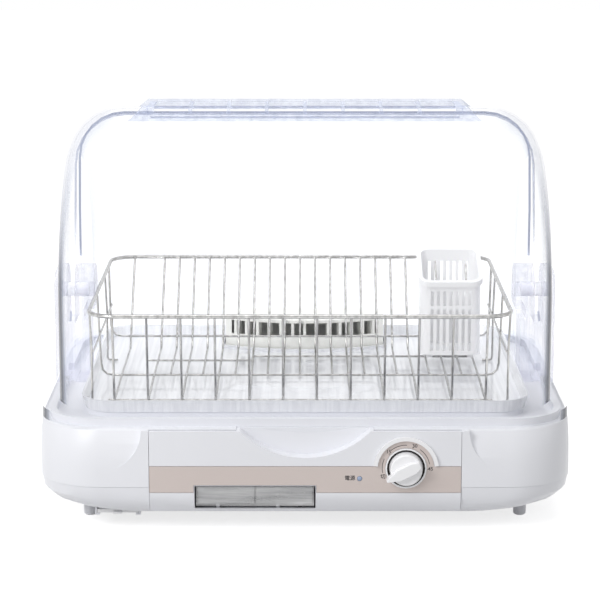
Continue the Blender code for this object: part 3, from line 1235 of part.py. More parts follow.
def vent_profile(inset, low):
    """The vent's side view above a height, inset by a wall."""
    return [(VENT_FRONT + 2 * inset, low), (VENT_FRONT + 2 * inset, from_roof(VENT_FRONT) - inset),
            (VENT_FACE_FRONT + inset, VENT_FACE_Z - inset), (VENT_TOP_FRONT + inset, VENT_TOP_Z - inset),
            (VENT_TOP_BACK - inset, VENT_TOP_Z - inset), (VENT_BACK - 2 * inset, from_roof(VENT_BACK)),
            (VENT_BACK - 2 * inset, low)]


def from_roof(y):
    """The height of the hood's roof at a place along Y."""
    return PIVOT_Z + math.sqrt(HOOD_RADIUS ** 2 - (y - PIVOT_Y) ** 2)


def make_exhaust_vent():
    low = PIVOT_Z + HOOD_RADIUS / 2
    vent = prism("exhaust_vent", [vent_profile(0.0, low)], "YZ", -VENT_FOOT_HALF, VENT_FOOT_HALF, "part")
    foot_z = from_roof(VENT_FRONT)
    slope = (VENT_FOOT_HALF - VENT_TOP_HALF) / (VENT_TOP_Z - foot_z)
    wide = VENT_FOOT_HALF + slope * (foot_z - low)
    ends = [(-wide, low), (wide, low), (VENT_TOP_HALF, VENT_TOP_Z), (-VENT_TOP_HALF, VENT_TOP_Z)]
    combine(vent, prism("vent_ends", [ends], "XZ", VENT_FRONT - OVERRUN, VENT_BACK + OVERRUN), "INTERSECT")
    inner = VENT_TOP_HALF - VENT_WALL
    combine(vent, prism("vent_hollow", [vent_profile(VENT_WALL, low - OVERRUN)], "YZ", -inner, inner))
    combine(vent, cylinder("vent_seat", HOOD_RADIUS + GAP, (-wide, PIVOT_Y, PIVOT_Z),
                           (wide, PIVOT_Y, PIVOT_Z), VENT_SEAT_STEPS))
    half = (VENT_CELL_PITCH - VENT_BAR) / 2
    for i in range(VENT_CELLS):
        x = (i - (VENT_CELLS - 1) / 2) * VENT_CELL_PITCH
        combine(vent, box(f"vent_top_slot_{i}", (x - half, VENT_SLOT_FRONT, VENT_TOP_Z - 2 * VENT_WALL),
                          (x + half, VENT_SLOT_BACK, VENT_TOP_Z + OVERRUN)))
        front_slot = box(f"vent_front_slot_{i}", (x - half, VENT_FACE_FRONT - OVERRUN, VENT_FACE_Z),
                         (x + half, VENT_TOP_FRONT + VENT_WALL / 2, VENT_TOP_Z - VENT_FACE_BAR))
        combine(vent, front_slot)
    finish(vent, "clear_plastic")


def make_hinge_brackets():
    for side, sign in (("left", -1), ("right", 1)):
        name = f"hinge_bracket_{side}"
        rings = []
        for x, share in ((BRACKET_POST_INNER, 1.0), (BRACKET_POST_OUTER, 1.0),
                         ((BRACKET_POST_OUTER + BRACKET_CAP_OUTER) / 2, BRACKET_MID_SHARE),
                         (BRACKET_CAP_OUTER, BRACKET_CAP_SHARE)):
            radius = BRACKET_TOP_RADIUS * share
            profile = arc((PIVOT_Y, PIVOT_Z), radius, 0, 180, BRACKET_STEPS)
            profile += [(PIVOT_Y - radius, HOOD_BOTTOM), (PIVOT_Y + radius, HOOD_BOTTOM)]
            rings.append([(sign * x, y, z) for y, z in profile])
        bracket = loft(name, rings, "part")
        high = PIVOT_Z + BRACKET_TOP_RADIUS + OVERRUN
        outline = [(BRACKET_LEG_INNER, HOOD_BOTTOM), (BRACKET_LEG_OUTER, HOOD_BOTTOM),
                   (BRACKET_LEG_OUTER, high), (BRACKET_BLOCK_INNER, high),
                   (BRACKET_BLOCK_INNER, BRACKET_BLOCK_BOTTOM), (BRACKET_NECK_INNER, BRACKET_BLOCK_BOTTOM),
                   (BRACKET_NECK_INNER, BRACKET_NECK_BOTTOM), (BRACKET_LEG_INNER, BRACKET_NECK_BOTTOM)]
        outline = [(sign * x, z) for x, z in outline]
        inner = prism(name + "_inner", [outline], "XZ", BRACKET_FRONT - OVERRUN, BRACKET_BACK + OVERRUN)
        keep = arc((PIVOT_Y, PIVOT_Z), BRACKET_TOP_RADIUS, 0, 180, BRACKET_STEPS)
        keep += [(BRACKET_FRONT, HOOD_BOTTOM - OVERRUN), (BRACKET_BACK, HOOD_BOTTOM - OVERRUN)]
        span = sorted((sign * (BRACKET_BLOCK_INNER - OVERRUN), sign * (BRACKET_LEG_OUTER + OVERRUN)))
        combine(inner, prism(name + "_round", [keep], "YZ", *span), "INTERSECT")
        xs = sorted((sign * (BRACKET_LEG_OUTER - BRIDGE_LAP), sign * (BRACKET_POST_INNER + BRIDGE_LAP)))
        bridge = box(name + "_bridge", (xs[0], BRACKET_FRONT + BRIDGE_LAP, HOOD_BOTTOM + BRIDGE_LAP),
                     (xs[1], BRACKET_BACK - BRIDGE_LAP, BRACKET_BRIDGE_TOP))
        combine(bracket, bridge, "UNION")
        combine(bracket, inner, "UNION")
        ends = sorted((sign * (BRACKET_BLOCK_INNER - OVERRUN), sign * (PIN_OUTER_X + GAP)))
        combine(bracket, cylinder(name + "_bore", PIN_RADIUS + GAP, (ends[0], PIVOT_Y, PIVOT_Z),
                                  (ends[1], PIVOT_Y, PIVOT_Z), PIN_STEPS))
        finish(bracket, "clear_plastic")
        xs = sorted((sign * PIN_INNER_X, sign * PIN_OUTER_X))
        pin = cylinder(f"hinge_pin_{side}", PIN_RADIUS, (xs[0], PIVOT_Y, PIVOT_Z),
                       (xs[1], PIVOT_Y, PIVOT_Z), PIN_STEPS, "part")
        finish(pin, "white_plastic")


def tray_ring(inset, z):
    outline = rounded_outline(TRAY_HALF_WIDTH - inset, TRAY_FRONT + inset, TRAY_BACK - inset,
                              TRAY_CORNER - inset, TRAY_STEPS)
    return at_height(outline, z)


def outlet_outline(margin, steps=OUTLET_STEPS):
    """The warm-air outlet's plan, wider by a margin all round."""
    corner = OUTLET_CORNER + margin if OUTLET_CORNER + margin > 0 else OUTLET_CORNER
    return bowed_outline(OUTLET_HALF + margin, OUTLET_END_FRONT - margin, OUTLET_MID_FRONT - margin,
                         OUTLET_BACK + margin, corner, steps)


def hump_outline(inset):
    return bowed_outline(TRAY_HUMP_HALF - inset, TRAY_HUMP_FRONT + TRAY_HUMP_BOW + inset,
                         TRAY_HUMP_FRONT + inset, TRAY_HUMP_BACK - inset,
                         OUTLET_CORNER + TRAY_HUMP_SLOPE - inset,
                         OUTLET_STEPS)


def make_drain_tray():
    bottom = TRAY_FLOOR - TRAY_WALL
    tray = loft("drain_tray", [tray_ring(TRAY_DRAFT, bottom), tray_ring(0.0, TRAY_TOP)], "part")
    over = TRAY_TOP + OVERRUN
    combine(tray, loft("tray_hollow", [tray_ring(TRAY_DRAFT + TRAY_WALL, TRAY_FLOOR),
                                       tray_ring(TRAY_WALL, TRAY_TOP), tray_ring(TRAY_WALL, over)]))
    seat = TRAY_FLOOR - TRAY_WALL / 2
    hump = loft("tray_hump", [at_height(hump_outline(0.0), seat), at_height(hump_outline(0.0), TRAY_FLOOR),
                              at_height(hump_outline(TRAY_HUMP_SLOPE), TRAY_FLOOR + TRAY_HUMP_RISE)])
    combine(tray, hump, "UNION")
    collar = outlet_outline(TRAY_CUT_MARGIN + TRAY_COLLAR)
    combine(tray, prism("tray_collar", [collar], "XY", seat, TRAY_FLOOR + TRAY_COLLAR_RISE), "UNION")
    combine(tray, prism("tray_outlet_cut", [outlet_outline(TRAY_CUT_MARGIN)], "XY", bottom - OVERRUN, over))
    drain = (TRAY_DRAIN_X, TRAY_DRAIN_Y)
    combine(tray, cylinder("tray_spout", TRAY_DRAIN_RADIUS + TRAY_WALL, (*drain, bottom - TRAY_SPOUT_REACH),
                           (*drain, seat), MOTOR_STEPS), "UNION")
    combine(tray, cylinder("tray_drain", TRAY_DRAIN_RADIUS, (*drain, bottom - TRAY_SPOUT_REACH - OVERRUN),
                           (*drain, over), MOTOR_STEPS))
    finish(tray, "tray_plastic")


def make_warm_air_outlet():
    bottom = DECK_Z + INNER_DECK_RISE + GAP
    outlet = prism("warm_air_outlet", [outlet_outline(0.0)], "XY", bottom, OUTLET_TOP, "part")
    combine(outlet, prism("outlet_hollow", [outlet_outline(-OUTLET_WALL)], "XY", bottom - OVERRUN,
                          OUTLET_TOP - OUTLET_WALL))
    reach = OUTLET_HALF - OUTLET_CORNER
    combine(outlet, box("outlet_slot", (-reach, OUTLET_MID_FRONT - OVERRUN, OUTLET_SLOT_BOTTOM),
                        (reach, OUTLET_END_FRONT + OUTLET_WALL, OUTLET_SLOT_TOP)))
    bow = OUTLET_END_FRONT - OUTLET_MID_FRONT
    radius = (OUTLET_HALF ** 2 + bow ** 2) / (2 * bow)
    centre = (0, OUTLET_MID_FRONT + radius)
    spread = math.degrees(math.asin(reach / radius)) - OUTLET_VANE_END_DEG
    for i in range(OUTLET_VANES):
        angle = 270 + spread * (2 * i / (OUTLET_VANES - 1) - 1)
        outer, inner = radius - OUTLET_VANE_SINK, radius - OUTLET_VANE_DEPTH
        turn = math.degrees(OUTLET_VANE_THICKNESS / 2 / outer)
        outline = [arc(centre, outer, angle - turn, angle + turn, 1),
                   arc(centre, inner, angle + turn, angle - turn, 1)]
        combine(outlet, prism(f"outlet_vane_{i}", [outline[0] + outline[1]], "XY",
                              OUTLET_SLOT_BOTTOM - OUTLET_WALL, OUTLET_TOP - OUTLET_WALL / 2), "UNION")
    finish(outlet, "outlet_plastic")


def make_air_duct():
    bottom, top = BLOWER_BOTTOM, BLOWER_TOP
    throat_top = DECK_Z + INNER_DECK_RISE - WALL - GAP
    half = DUCT_THROAT_HALF
    wall = DUCT_WALL
    duct = box("air_duct", (DUCT_LEFT, DUCT_FRONT, bottom), (DUCT_RIGHT, DUCT_CHANNEL_BACK, top), "part")
    combine(duct, box("duct_throat", (-half - wall, DUCT_THROAT_FRONT - wall, bottom + wall),
                      (half + wall, DUCT_BACK, throat_top)), "UNION")
    combine(duct, box("duct_channel", (DUCT_LEFT - OVERRUN, DUCT_FRONT + wall, bottom + wall),
                      (DUCT_RIGHT - wall, DUCT_CHANNEL_BACK - wall, top - wall)))
    combine(duct, box("duct_plenum", (-half, DUCT_THROAT_FRONT, bottom + 2 * wall),
                      (half, DUCT_BACK - wall, throat_top + OVERRUN)))
    for i, x in enumerate((DUCT_LEFT / 2, DUCT_RIGHT - DUCT_FOOT)):
        combine(duct, box(f"duct_foot_{i}", (x, DUCT_FRONT + DUCT_FOOT, PAN_FLOOR + GAP),
                          (x + DUCT_FOOT, DUCT_CHANNEL_BACK - DUCT_FOOT, bottom + wall / 2)), "UNION")
    finish(duct, "grey_plastic")


def make_heater_element():
    bottom = BLOWER_BOTTOM + DUCT_WALL + GAP
    front, back = HEATER_FRONT, HEATER_FRONT + HEATER_DEPTH
    middle = (front + back) / 2
    half = HEATER_RAIL / 2
    end = DUCT_RIGHT - DUCT_WALL - GAP
    element = box("heater_element", (HEATER_LEFT, middle - half, bottom + HEATER_DEPTH / 4),
                  (end, middle + half, bottom + HEATER_DEPTH / 4 + HEATER_RAIL), "part")
    combine(element, box("heater_upper_rail", (HEATER_LEFT, middle - half, HEATER_TOP - HEATER_DEPTH / 4),
                         (end, middle + half, HEATER_TOP - HEATER_DEPTH / 4 + HEATER_RAIL)), "UNION")
    pitch = (HEATER_RIGHT - HEATER_LEFT - 2 * HEATER_RAIL) / (HEATER_FINS - 1)
    for i in range(HEATER_FINS):
        x = HEATER_LEFT + HEATER_RAIL + i * pitch
        combine(element, box(f"heater_fin_{i}", (x - HEATER_FIN / 2, front, bottom),
                             (x + HEATER_FIN / 2, back, HEATER_TOP)), "UNION")
    finish(element, "heater_aluminium")


def make_blower_casing():
    centre = (BLOWER_X, BLOWER_Y)
    bottom, top, wall = BLOWER_BOTTOM, BLOWER_TOP, BLOWER_WALL
    neck_end = DUCT_LEFT - GAP
    casing = cylinder("blower_casing", BLOWER_RADIUS, (*centre, bottom), (*centre, top),
                      BLOWER_STEPS, "part")
    combine(casing, box("casing_neck", (BLOWER_X, DUCT_FRONT, bottom), (neck_end, DUCT_CHANNEL_BACK, top)),
            "UNION")
    combine(casing, cylinder("casing_well", BLOWER_RADIUS - wall, (*centre, bottom + wall),
                             (*centre, top - wall), BLOWER_STEPS))
    combine(casing, box("casing_neck_well", (BLOWER_X, DUCT_FRONT + wall, bottom + wall),
                        (neck_end + OVERRUN, DUCT_CHANNEL_BACK - wall, top - wall)))
    combine(casing, cylinder("casing_intake", BLOWER_INTAKE, (*centre, bottom - OVERRUN),
                             (*centre, bottom + 2 * wall), BLOWER_STEPS))
    combine(casing, cylinder("casing_shaft_hole", SHAFT_RADIUS + SHAFT_PLAY, (*centre, top - 2 * wall),
                             (*centre, top + OVERRUN), PLUG_STEPS))
    reach = (BLOWER_INTAKE + BLOWER_RADIUS) / 2
    for i in range(BLOWER_LEGS):
        turn = math.radians(BLOWER_LEG_START_DEG + 360 * i / BLOWER_LEGS)
        x, y = BLOWER_X + reach * math.cos(turn), BLOWER_Y + reach * math.sin(turn)
        combine(casing, cylinder(f"casing_leg_{i}", BLOWER_LEG_RADIUS, (x, y, PAN_FLOOR + GAP),
                                 (x, y, bottom + wall / 2), BLOWER_LEG_STEPS), "UNION")
    finish(casing, "grey_plastic")


def make_fan_wheel():
    centre = (BLOWER_X, BLOWER_Y)
    plate_low = WHEEL_TOP - WHEEL_PLATE
    shaft_top = MOTOR_TOP - 2 * (MOTOR_TOP - BLOWER_TOP) / 3
    profile = [(0, shaft_top), (SHAFT_RADIUS, shaft_top), (SHAFT_RADIUS, WHEEL_TOP),
               (WHEEL_RADIUS, WHEEL_TOP),
               (WHEEL_RADIUS, plate_low), (WHEEL_HUB, plate_low),
               (WHEEL_HUB, WHEEL_TOP - WHEEL_HUB_HEIGHT), (0, WHEEL_TOP - WHEEL_HUB_HEIGHT)]
    wheel = turned("fan_wheel", profile, (*centre, 0), (0, 0, 1), BLOWER_STEPS, "part")
    inner = WHEEL_RADIUS - WHEEL_BLADE_CHORD
    for i in range(WHEEL_BLADES):
        turn = math.radians(360 * i / WHEEL_BLADES)
        lean = turn + math.radians(WHEEL_BLADE_LEAN_DEG)
        start = Vector((inner * math.cos(turn), inner * math.sin(turn)))
        along = Vector((math.cos(lean), math.sin(lean)))
        across = Vector((-along.y, along.x)) * WHEEL_BLADE / 2
        end = start + along * (WHEEL_BLADE_CHORD - WHEEL_BLADE)
        outline = [start + across, start - across, end - across, end + across]
        outline = [(BLOWER_X + p.x, BLOWER_Y + p.y) for p in outline]
        combine(wheel, prism(f"fan_blade_{i}", [outline], "XY", WHEEL_BOTTOM + WHEEL_RING / 2,
                             WHEEL_TOP - WHEEL_PLATE / 2), "UNION")
    ring_profile = [(WHEEL_RADIUS, WHEEL_BOTTOM + WHEEL_RING), (WHEEL_RADIUS, WHEEL_BOTTOM),
                    (inner - WHEEL_BLADE, WHEEL_BOTTOM), (inner - WHEEL_BLADE, WHEEL_BOTTOM + WHEEL_RING),
                    (WHEEL_RADIUS, WHEEL_BOTTOM + WHEEL_RING)]
    combine(wheel, turned("fan_ring", ring_profile, (*centre, 0), (0, 0, 1), BLOWER_STEPS), "UNION")
    finish(wheel, "grey_plastic", (*centre, WHEEL_BOTTOM))


def make_fan_motor():
    bottom = BLOWER_TOP + GAP
    bore = SHAFT_RADIUS + SHAFT_PLAY
    bore_top = MOTOR_TOP - (MOTOR_TOP - BLOWER_TOP) / 2
    profile = [(0, MOTOR_TOP), (MOTOR_RADIUS, MOTOR_TOP), (MOTOR_RADIUS, bottom + MOTOR_COLLAR_HEIGHT),
               (MOTOR_COLLAR, bottom + MOTOR_COLLAR_HEIGHT), (MOTOR_COLLAR, bottom), (bore, bottom),
               (bore, bore_top), (0, bore_top)]
    motor = turned("fan_motor", profile, (BLOWER_X, BLOWER_Y, 0), (0, 0, 1), MOTOR_STEPS, "part")
    finish(motor, "motor_steel")


def make_cord_gland():
    face = GLAND_RECESS - GAP
    profile = [(GLAND_BORE, 0), (GLAND_HEAD, 0), (GLAND_HEAD, -face), (GLAND_NECK, -face),
               (GLAND_NECK, -GLAND_REACH), (GLAND_BORE, -GLAND_REACH), (GLAND_BORE, 0)]
    gland = turned("cord_gland", profile, (GLAND_X, BASE_BACK, GLAND_Z), (0, 1, 0), MOTOR_STEPS, "part")
    finish(gland, "black_rubber")


def rounded_path(points, radius, steps=2):
    """A wire's path with its corners rounded."""
    points = [Vector(p) for p in points]
    path = [points[0]]
    for before, corner, after in zip(points, points[1:], points[2:]):
        into, out = (corner - before), (after - corner)
        turn = into.angle(out)
        reach = min(radius * math.tan(turn / 2), into.length / 2, out.length / 2)
        start, end = corner - into.normalized() * reach, corner + out.normalized() * reach
        for i in range(steps + 1):
            t = i / steps
            path.append(start * (1 - t) ** 2 + corner * 2 * t * (1 - t) + end * t ** 2)
    path.append(points[-1])
    return path


def basket_hoop_path(x, ends_at_u):
    """One front-to-back wire, from the rim behind, over the shelf and along the floor."""
    path = [(BASKET_BACK, BASKET_RIM_Z), (BASKET_KNEE_Y, BASKET_KNEE_Z),
            (BASKET_SHELF_BACK, BASKET_SHELF_Z), (BASKET_SHELF_FRONT, BASKET_SHELF_Z),
            (BASKET_FLOOR_BACK, BASKET_FLOOR_Z)]
    if ends_at_u:
        path += [(BASKET_U_Y, BASKET_FLOOR_Z)]
    else:
        path += [(BASKET_DIP_START, BASKET_FLOOR_Z), (BASKET_DIP_Y, BASKET_DIP_Z),
                 (BASKET_FOOT_Y, BASKET_DIP_Z), (BASKET_FRONT, BASKET_RIM_Z)]
    return rounded_path([(x, y, z) for y, z in path], BASKET_BEND)


def make_basket():
    wire, touch = BASKET_WIRE, 2 * BASKET_WIRE - BASKET_WELD
    outline = rounded_outline(BASKET_HALF_WIDTH, BASKET_FRONT, BASKET_BACK, BASKET_CORNER,
                              BASKET_CORNER_STEPS, BASKET_X)
    basket = tube("basket", at_height(outline, BASKET_RIM_Z), BASKET_RIM_WIRE, "part", 2, True)
    wires = []
    for i in range(BASKET_HOOPS):
        x = BASKET_X + (i - (BASKET_HOOPS - 1) / 2) * BASKET_PITCH
        wires.append(tube(f"basket_hoop_{i}", basket_hoop_path(x, False), wire, "wire"))
    for j in range(1, BASKET_HOOPS - 1):
        x = BASKET_X + (j - (BASKET_HOOPS - 2) / 2) * BASKET_PITCH
        wires.append(tube(f"basket_half_hoop_{j}", basket_hoop_path(x, True), wire, "wire"))
    under = BASKET_FLOOR_Z - touch
    side, rim = BASKET_SIDE_LOW, BASKET_HALF_WIDTH
    for name, low_y, high_y, z in (("front", BASKET_U_Y, BASKET_U_Y, under),
                                   ("back", BASKET_BACK_U_Y, BASKET_BACK_U_TOP_Y, BASKET_SHELF_Z - touch)):
        path = [(-rim, high_y, BASKET_RIM_Z), (-side, low_y, z),
                (side, low_y, z), (rim, high_y, BASKET_RIM_Z)]
        path = [(BASKET_X + px, py, pz) for px, py, pz in path]
        bent = rounded_path(path, 2 * BASKET_BEND, BASKET_BEND_STEPS)
        wires.append(tube(f"basket_u_{name}", bent, wire, "wire"))
    span = BASKET_PITCH * (BASKET_HOOPS - 1) / 2
    for name, y, left, right in (("right", BASKET_MID_RIGHT_Y, BASKET_MID_SPLIT, span),
                                 ("left", BASKET_MID_LEFT_Y, BASKET_MID_LEFT_END, BASKET_MID_SPLIT)):
        path = [(BASKET_X + left - wire, y, under), (BASKET_X + right + wire, y, under)]
        wires.append(tube(f"basket_cross_{name}", path, wire, "wire"))
    front_z = BASKET_DIP_Z - touch
    foot_z = TRAY_FLOOR + GAP + wire
    half, y = BASKET_FRONT_HALF, BASKET_FOOT_Y + BASKET_BEND
    path = [(-half, y, foot_z), (-half, y, front_z), (half, y, front_z), (half, y, foot_z)]
    path = [(BASKET_X + px, py, pz) for px, py, pz in path]
    wires.append(tube("basket_front_wire", rounded_path(path, BASKET_WELD), wire, "wire"))
    rail_x = BASKET_SIDE_HALF - touch
    for name, sign in (("left", -1), ("right", 1)):
        path = [(BASKET_X + sign * rail_x, BASKET_RAIL_FRONT - wire, BASKET_RAIL_Z),
                (BASKET_X + sign * rail_x, BASKET_RAIL_BACK, BASKET_RAIL_Z)]
        wires.append(tube(f"basket_rail_{name}", path, wire, "wire"))
        for end, y in (("front", BASKET_LEG_FRONT), ("back", BASKET_LEG_BACK)):
            path = [(sign * rim, y, BASKET_RIM_Z), (sign * BASKET_SIDE_HALF, y, BASKET_RAIL_Z),
                    (sign * BASKET_SIDE_HALF, y, foot_z),
                    (sign * (BASKET_SIDE_HALF - BASKET_LEG_FOOT), y, foot_z)]
            path = [(BASKET_X + px, py, pz) for px, py, pz in path]
            wires.append(tube(f"basket_leg_{end}_{name}", rounded_path(path, BASKET_BEND / 2), wire, "wire"))
    union = basket.modifiers.new("welded wires", "BOOLEAN")
    union.operation = "UNION"
    union.solver = "EXACT"
    union.operand_type = "COLLECTION"
    union.collection = collections["wire"]
    finish(basket, "stainless_wire")


def holder_ring(z, spread):
    """The cutlery holder's plan at one height, its back leaning out as it rises."""
    share = (z - HOLDER_BOTTOM) / (HOLDER_BACK_TOP - HOLDER_BOTTOM)
    back = HOLDER_FOOT_BACK + share * (HOLDER_BACK - HOLDER_FOOT_BACK) + spread
    middle = (HOLDER_LEFT + HOLDER_RIGHT) / 2
    half = (HOLDER_RIGHT - HOLDER_LEFT) / 2 + spread
    return at_height(rounded_outline(half, HOLDER_FRONT - spread, back, HOLDER_CORNER + spread,
                                     HOLDER_STEPS, middle), z)


def holder_keep(name, drop):
    """A solid under the holder's slanting rim, or a slab of it."""
    reach = 2 * OVERRUN
    front, back = HOLDER_FRONT - reach, HOLDER_BACK + reach
    slope = (HOLDER_BACK_TOP - HOLDER_FRONT_TOP) / (HOLDER_BACK - HOLDER_FRONT)
    front_z, back_z = HOLDER_FRONT_TOP - slope * reach, HOLDER_BACK_TOP + slope * reach
    low = (front_z - drop, back_z - drop) if drop else (HOLDER_FOOT_Z - reach,) * 2
    outline = [(front, low[0]), (front, front_z), (back, back_z), (back, low[1])]
    return prism(name, [outline], "YZ", HOLDER_LEFT - reach, HOLDER_RIGHT + reach)


def make_cutlery_holder():
    top = HOLDER_BACK_TOP + OVERRUN
    holder = loft("cutlery_holder", [holder_ring(HOLDER_BOTTOM, 0.0), holder_ring(top, 0.0)], "part")
    combine(holder, holder_keep("holder_rim_plane", 0), "INTERSECT")
    rim = loft("holder_rim", [holder_ring(HOLDER_BOTTOM, HOLDER_RIM), holder_ring(top, HOLDER_RIM)])
    combine(rim, holder_keep("holder_rim_slab", HOLDER_RIM_HEIGHT), "INTERSECT")
    combine(holder, rim, "UNION")
    wall = HOLDER_WALL
    rings = [holder_ring(HOLDER_BOTTOM + wall, -wall), holder_ring(top + wall, -wall)]
    combine(holder, loft("holder_well", rings))
    middle = (HOLDER_LEFT + HOLDER_RIGHT) / 2
    deep = HOLDER_FRONT + 2 * wall
    rear = HOLDER_FOOT_BACK
    reach = HOLDER_BACK + 2 * wall
    for i in range(HOLDER_SLOTS):
        x = middle + (i - (HOLDER_SLOTS - 1) / 2) * HOLDER_SLOT_PITCH
        low_x, high_x = x - HOLDER_SLOT / 2, x + HOLDER_SLOT / 2
        for name, near, far, low, high in (
                ("upper", HOLDER_FRONT - wall, deep, HOLDER_UPPER_LOW,
                 HOLDER_UPPER_HIGH - HOLDER_RIM_HEIGHT),
                ("lower", HOLDER_FRONT - wall, deep, HOLDER_LOWER_LOW, HOLDER_LOWER_HIGH),
                ("back", rear, reach, HOLDER_BACK_LOW, HOLDER_BACK_HIGH - HOLDER_RIM_HEIGHT)):
            combine(holder, box(f"holder_{name}_slot_{i}", (low_x, near, low), (high_x, far, high)))
    foot = HOLDER_FOOT
    for i, x in enumerate((HOLDER_LEFT + foot, HOLDER_RIGHT - 2 * foot)):
        for j, y in enumerate((HOLDER_FRONT + foot, HOLDER_FOOT_BACK - 2 * foot)):
            combine(holder, box(f"holder_foot_{i}_{j}", (x, y, HOLDER_FOOT_Z),
                                (x + foot, y + foot, HOLDER_BOTTOM + wall / 2)), "UNION")
    finish(holder, "white_plastic")


for old in list(bpy.data.objects):
    bpy.data.objects.remove(old)

collections = {}
for role, title in (("part", "Electric dish dryer"), ("cutter", "Dish dryer cutters"),
                    ("wire", "Dish dryer basket wires")):
    collections[role] = bpy.data.collections.new(title)
    bpy.context.scene.collection.children.link(collections[role])
frame_empty = bpy.data.objects.new("dish_dryer_frame", None)
collections["part"].objects.link(frame_empty)
frame_empty.location = (0, FRAME_SHIFT, 0)
materials = {name: new_material(name) for name in COLOURS}

make_feet()
make_lower_pan()
make_upper_case()
make_front_panel()
make_accent_band()
make_dial()
make_timer_knob()
make_timer_body()
make_power_lamp()
make_drain_cup()
make_drain_plug()
make_intake_filter()
make_front_hood()
make_exhaust_vent()
make_rear_cover()
make_hinge_brackets()
make_drain_tray()
make_warm_air_outlet()
make_air_duct()
make_heater_element()
make_blower_casing()
make_fan_wheel()
make_fan_motor()
make_cord_gland()
make_basket()
make_cutlery_holder()
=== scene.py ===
"""Looks of the electric dish dryer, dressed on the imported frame: materials, printing, lights and camera."""

import math

import bmesh
import bpy
from mathutils import Matrix, Vector


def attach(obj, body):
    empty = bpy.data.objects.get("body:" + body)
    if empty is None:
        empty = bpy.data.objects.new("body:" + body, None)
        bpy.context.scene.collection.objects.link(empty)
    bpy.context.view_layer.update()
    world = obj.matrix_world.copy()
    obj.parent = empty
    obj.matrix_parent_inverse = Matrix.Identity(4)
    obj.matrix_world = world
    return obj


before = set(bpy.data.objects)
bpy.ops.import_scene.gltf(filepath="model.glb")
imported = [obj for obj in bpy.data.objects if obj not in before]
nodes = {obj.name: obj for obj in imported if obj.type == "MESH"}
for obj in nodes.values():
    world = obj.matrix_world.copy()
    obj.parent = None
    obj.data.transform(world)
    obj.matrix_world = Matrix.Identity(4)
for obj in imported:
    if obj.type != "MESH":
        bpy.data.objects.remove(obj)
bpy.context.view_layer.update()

# Places from the part's source, in metres; the frame is the design moved by SHIFT along Y.
# The dial's middle and the power lamp are places (x, z) on the front, whose face is at FACE_Y.
SHIFT = 0.007
FACE_Y = -0.197 + SHIFT
DIAL = (0.0898, 0.0619)
LAMP = (0.0485, 0.0523)
HOOD_AXIS = (0, 0.015 + SHIFT, 0.183)

# Points closer than WELD, in metres, are joined, and edges blunter than these degrees are shaded round
WELD = 0.00001
USUAL_ROUND_DEG = 33.0
ROUND_DEG = {"basket": 75.0, "front_hood": 20.0, "rear_cover": 20.0, "exhaust_vent": 10.0,
             "hinge_bracket_left": 18.0, "hinge_bracket_right": 18.0}

# The clear sheets' lining, in metres: the painted dark shade where they bend away, standing in for
# refraction, fades upwards and towards the back, the rims' own lining comes in above the sheet's foot, and
# the painted shade goes from dark low down to pale higher up; the last value is how strong the rims' lining
# is
LIMB_SHADE_HEIGHTS = (0.22, 0.32)
LIMB_SHADE_DEPTHS = (0.03, 0.08)
RIM_HEIGHTS = (0.135, 0.15)
LIMB_SHADE_TONE_HEIGHTS = (0.2, 0.31)
RIM_LEVEL = 0.7

# Printing on the front: its thickness, how much bolder the signs are drawn, the steps in each of their
# curves, and the width of lines
PRINT_DEPTH = 0.00006
BOLD = 0.00007
SIGN_STEPS = 3
LINE_WIDTH = 0.00055

# The dial's signs, each with its place from the dial's middle, and the lamp's word from the lamp
DIAL_SIGN_SIZE = 0.0046
DIAL_SIGNS = (("dial_off", "切", (-0.0205, -0.0078)), ("dial_15", "15", (-0.0155, 0.0151)),
              ("dial_30", "30", (0.0077, 0.0204)), ("dial_45", "45", (0.0219, -0.0007)))
LAMP_WORD_SIZE = 0.0048
LAMP_WORD_OFFSET = (-0.0086, 0.0003)

# The dial's printed arcs and the ticks at its signs: radii in metres, angles in degrees
ARC_RADIUS = 0.0212
ARC_STEPS = 18
ARCS = ((192, 156), (130, 88), (54, 10))
TICK_RADII = (0.0192, 0.0202)
TICKS = (207, 140, 72, -3)

# A ring of painted shade sunk in the gap between the knob and the dial's collar
GAP_INNER = 0.0152
GAP_OUTER = 0.01698
GAP_SUNK = 0.0008
GAP_THICKNESS = 0.0002
GAP_SIDES = 48

# The floor's half width, its colour and glow, and the world's strength on the object
FLOOR_HALF = 6.0
FLOOR_GREY = 0.64
FLOOR_GLOW = 0.72
WORLD_LEVEL = 0.5
SEEN_WORLD_LEVEL = 1.0

# Soft round lights: name, place, target, size in metres and power in watts
LIGHTS = (("key_left", (-1.3, -1.5, 1.3), (0, 0, 0.15), 1.1, 21),
          ("fill_top", (0.1, -0.2, 2.0), (0, 0, 0.1), 1.6, 10))

# The camera that was fitted to the photo: place in metres, tilt in degrees, sensor and lens in millimetres
CAMERA_PLACE = (-0.0046, -2.202 + SHIFT, 0.619)
CAMERA_DOWN_DEG = 11.4
SENSOR_WIDTH = 36.0
LENS = 139.86


def rgb(red, green, blue):
    """A linear colour from the eight-bit values that it shows as."""
    def linear(value):
        value /= 255
        return value / 12.92 if value <= 0.04045 else ((value + 0.055) / 1.055) ** 2.4
    return (linear(red), linear(green), linear(blue), 1.0)


def darker(colour, share):
    """A colour at a share of its brightness."""
    return tuple(c * share for c in colour[:3]) + (1.0,)


def levels(*pairs):
    """Grey stops for a ramp that drives a number."""
    return [(at, (value,) * 3 + (1,)) for at, value in pairs]


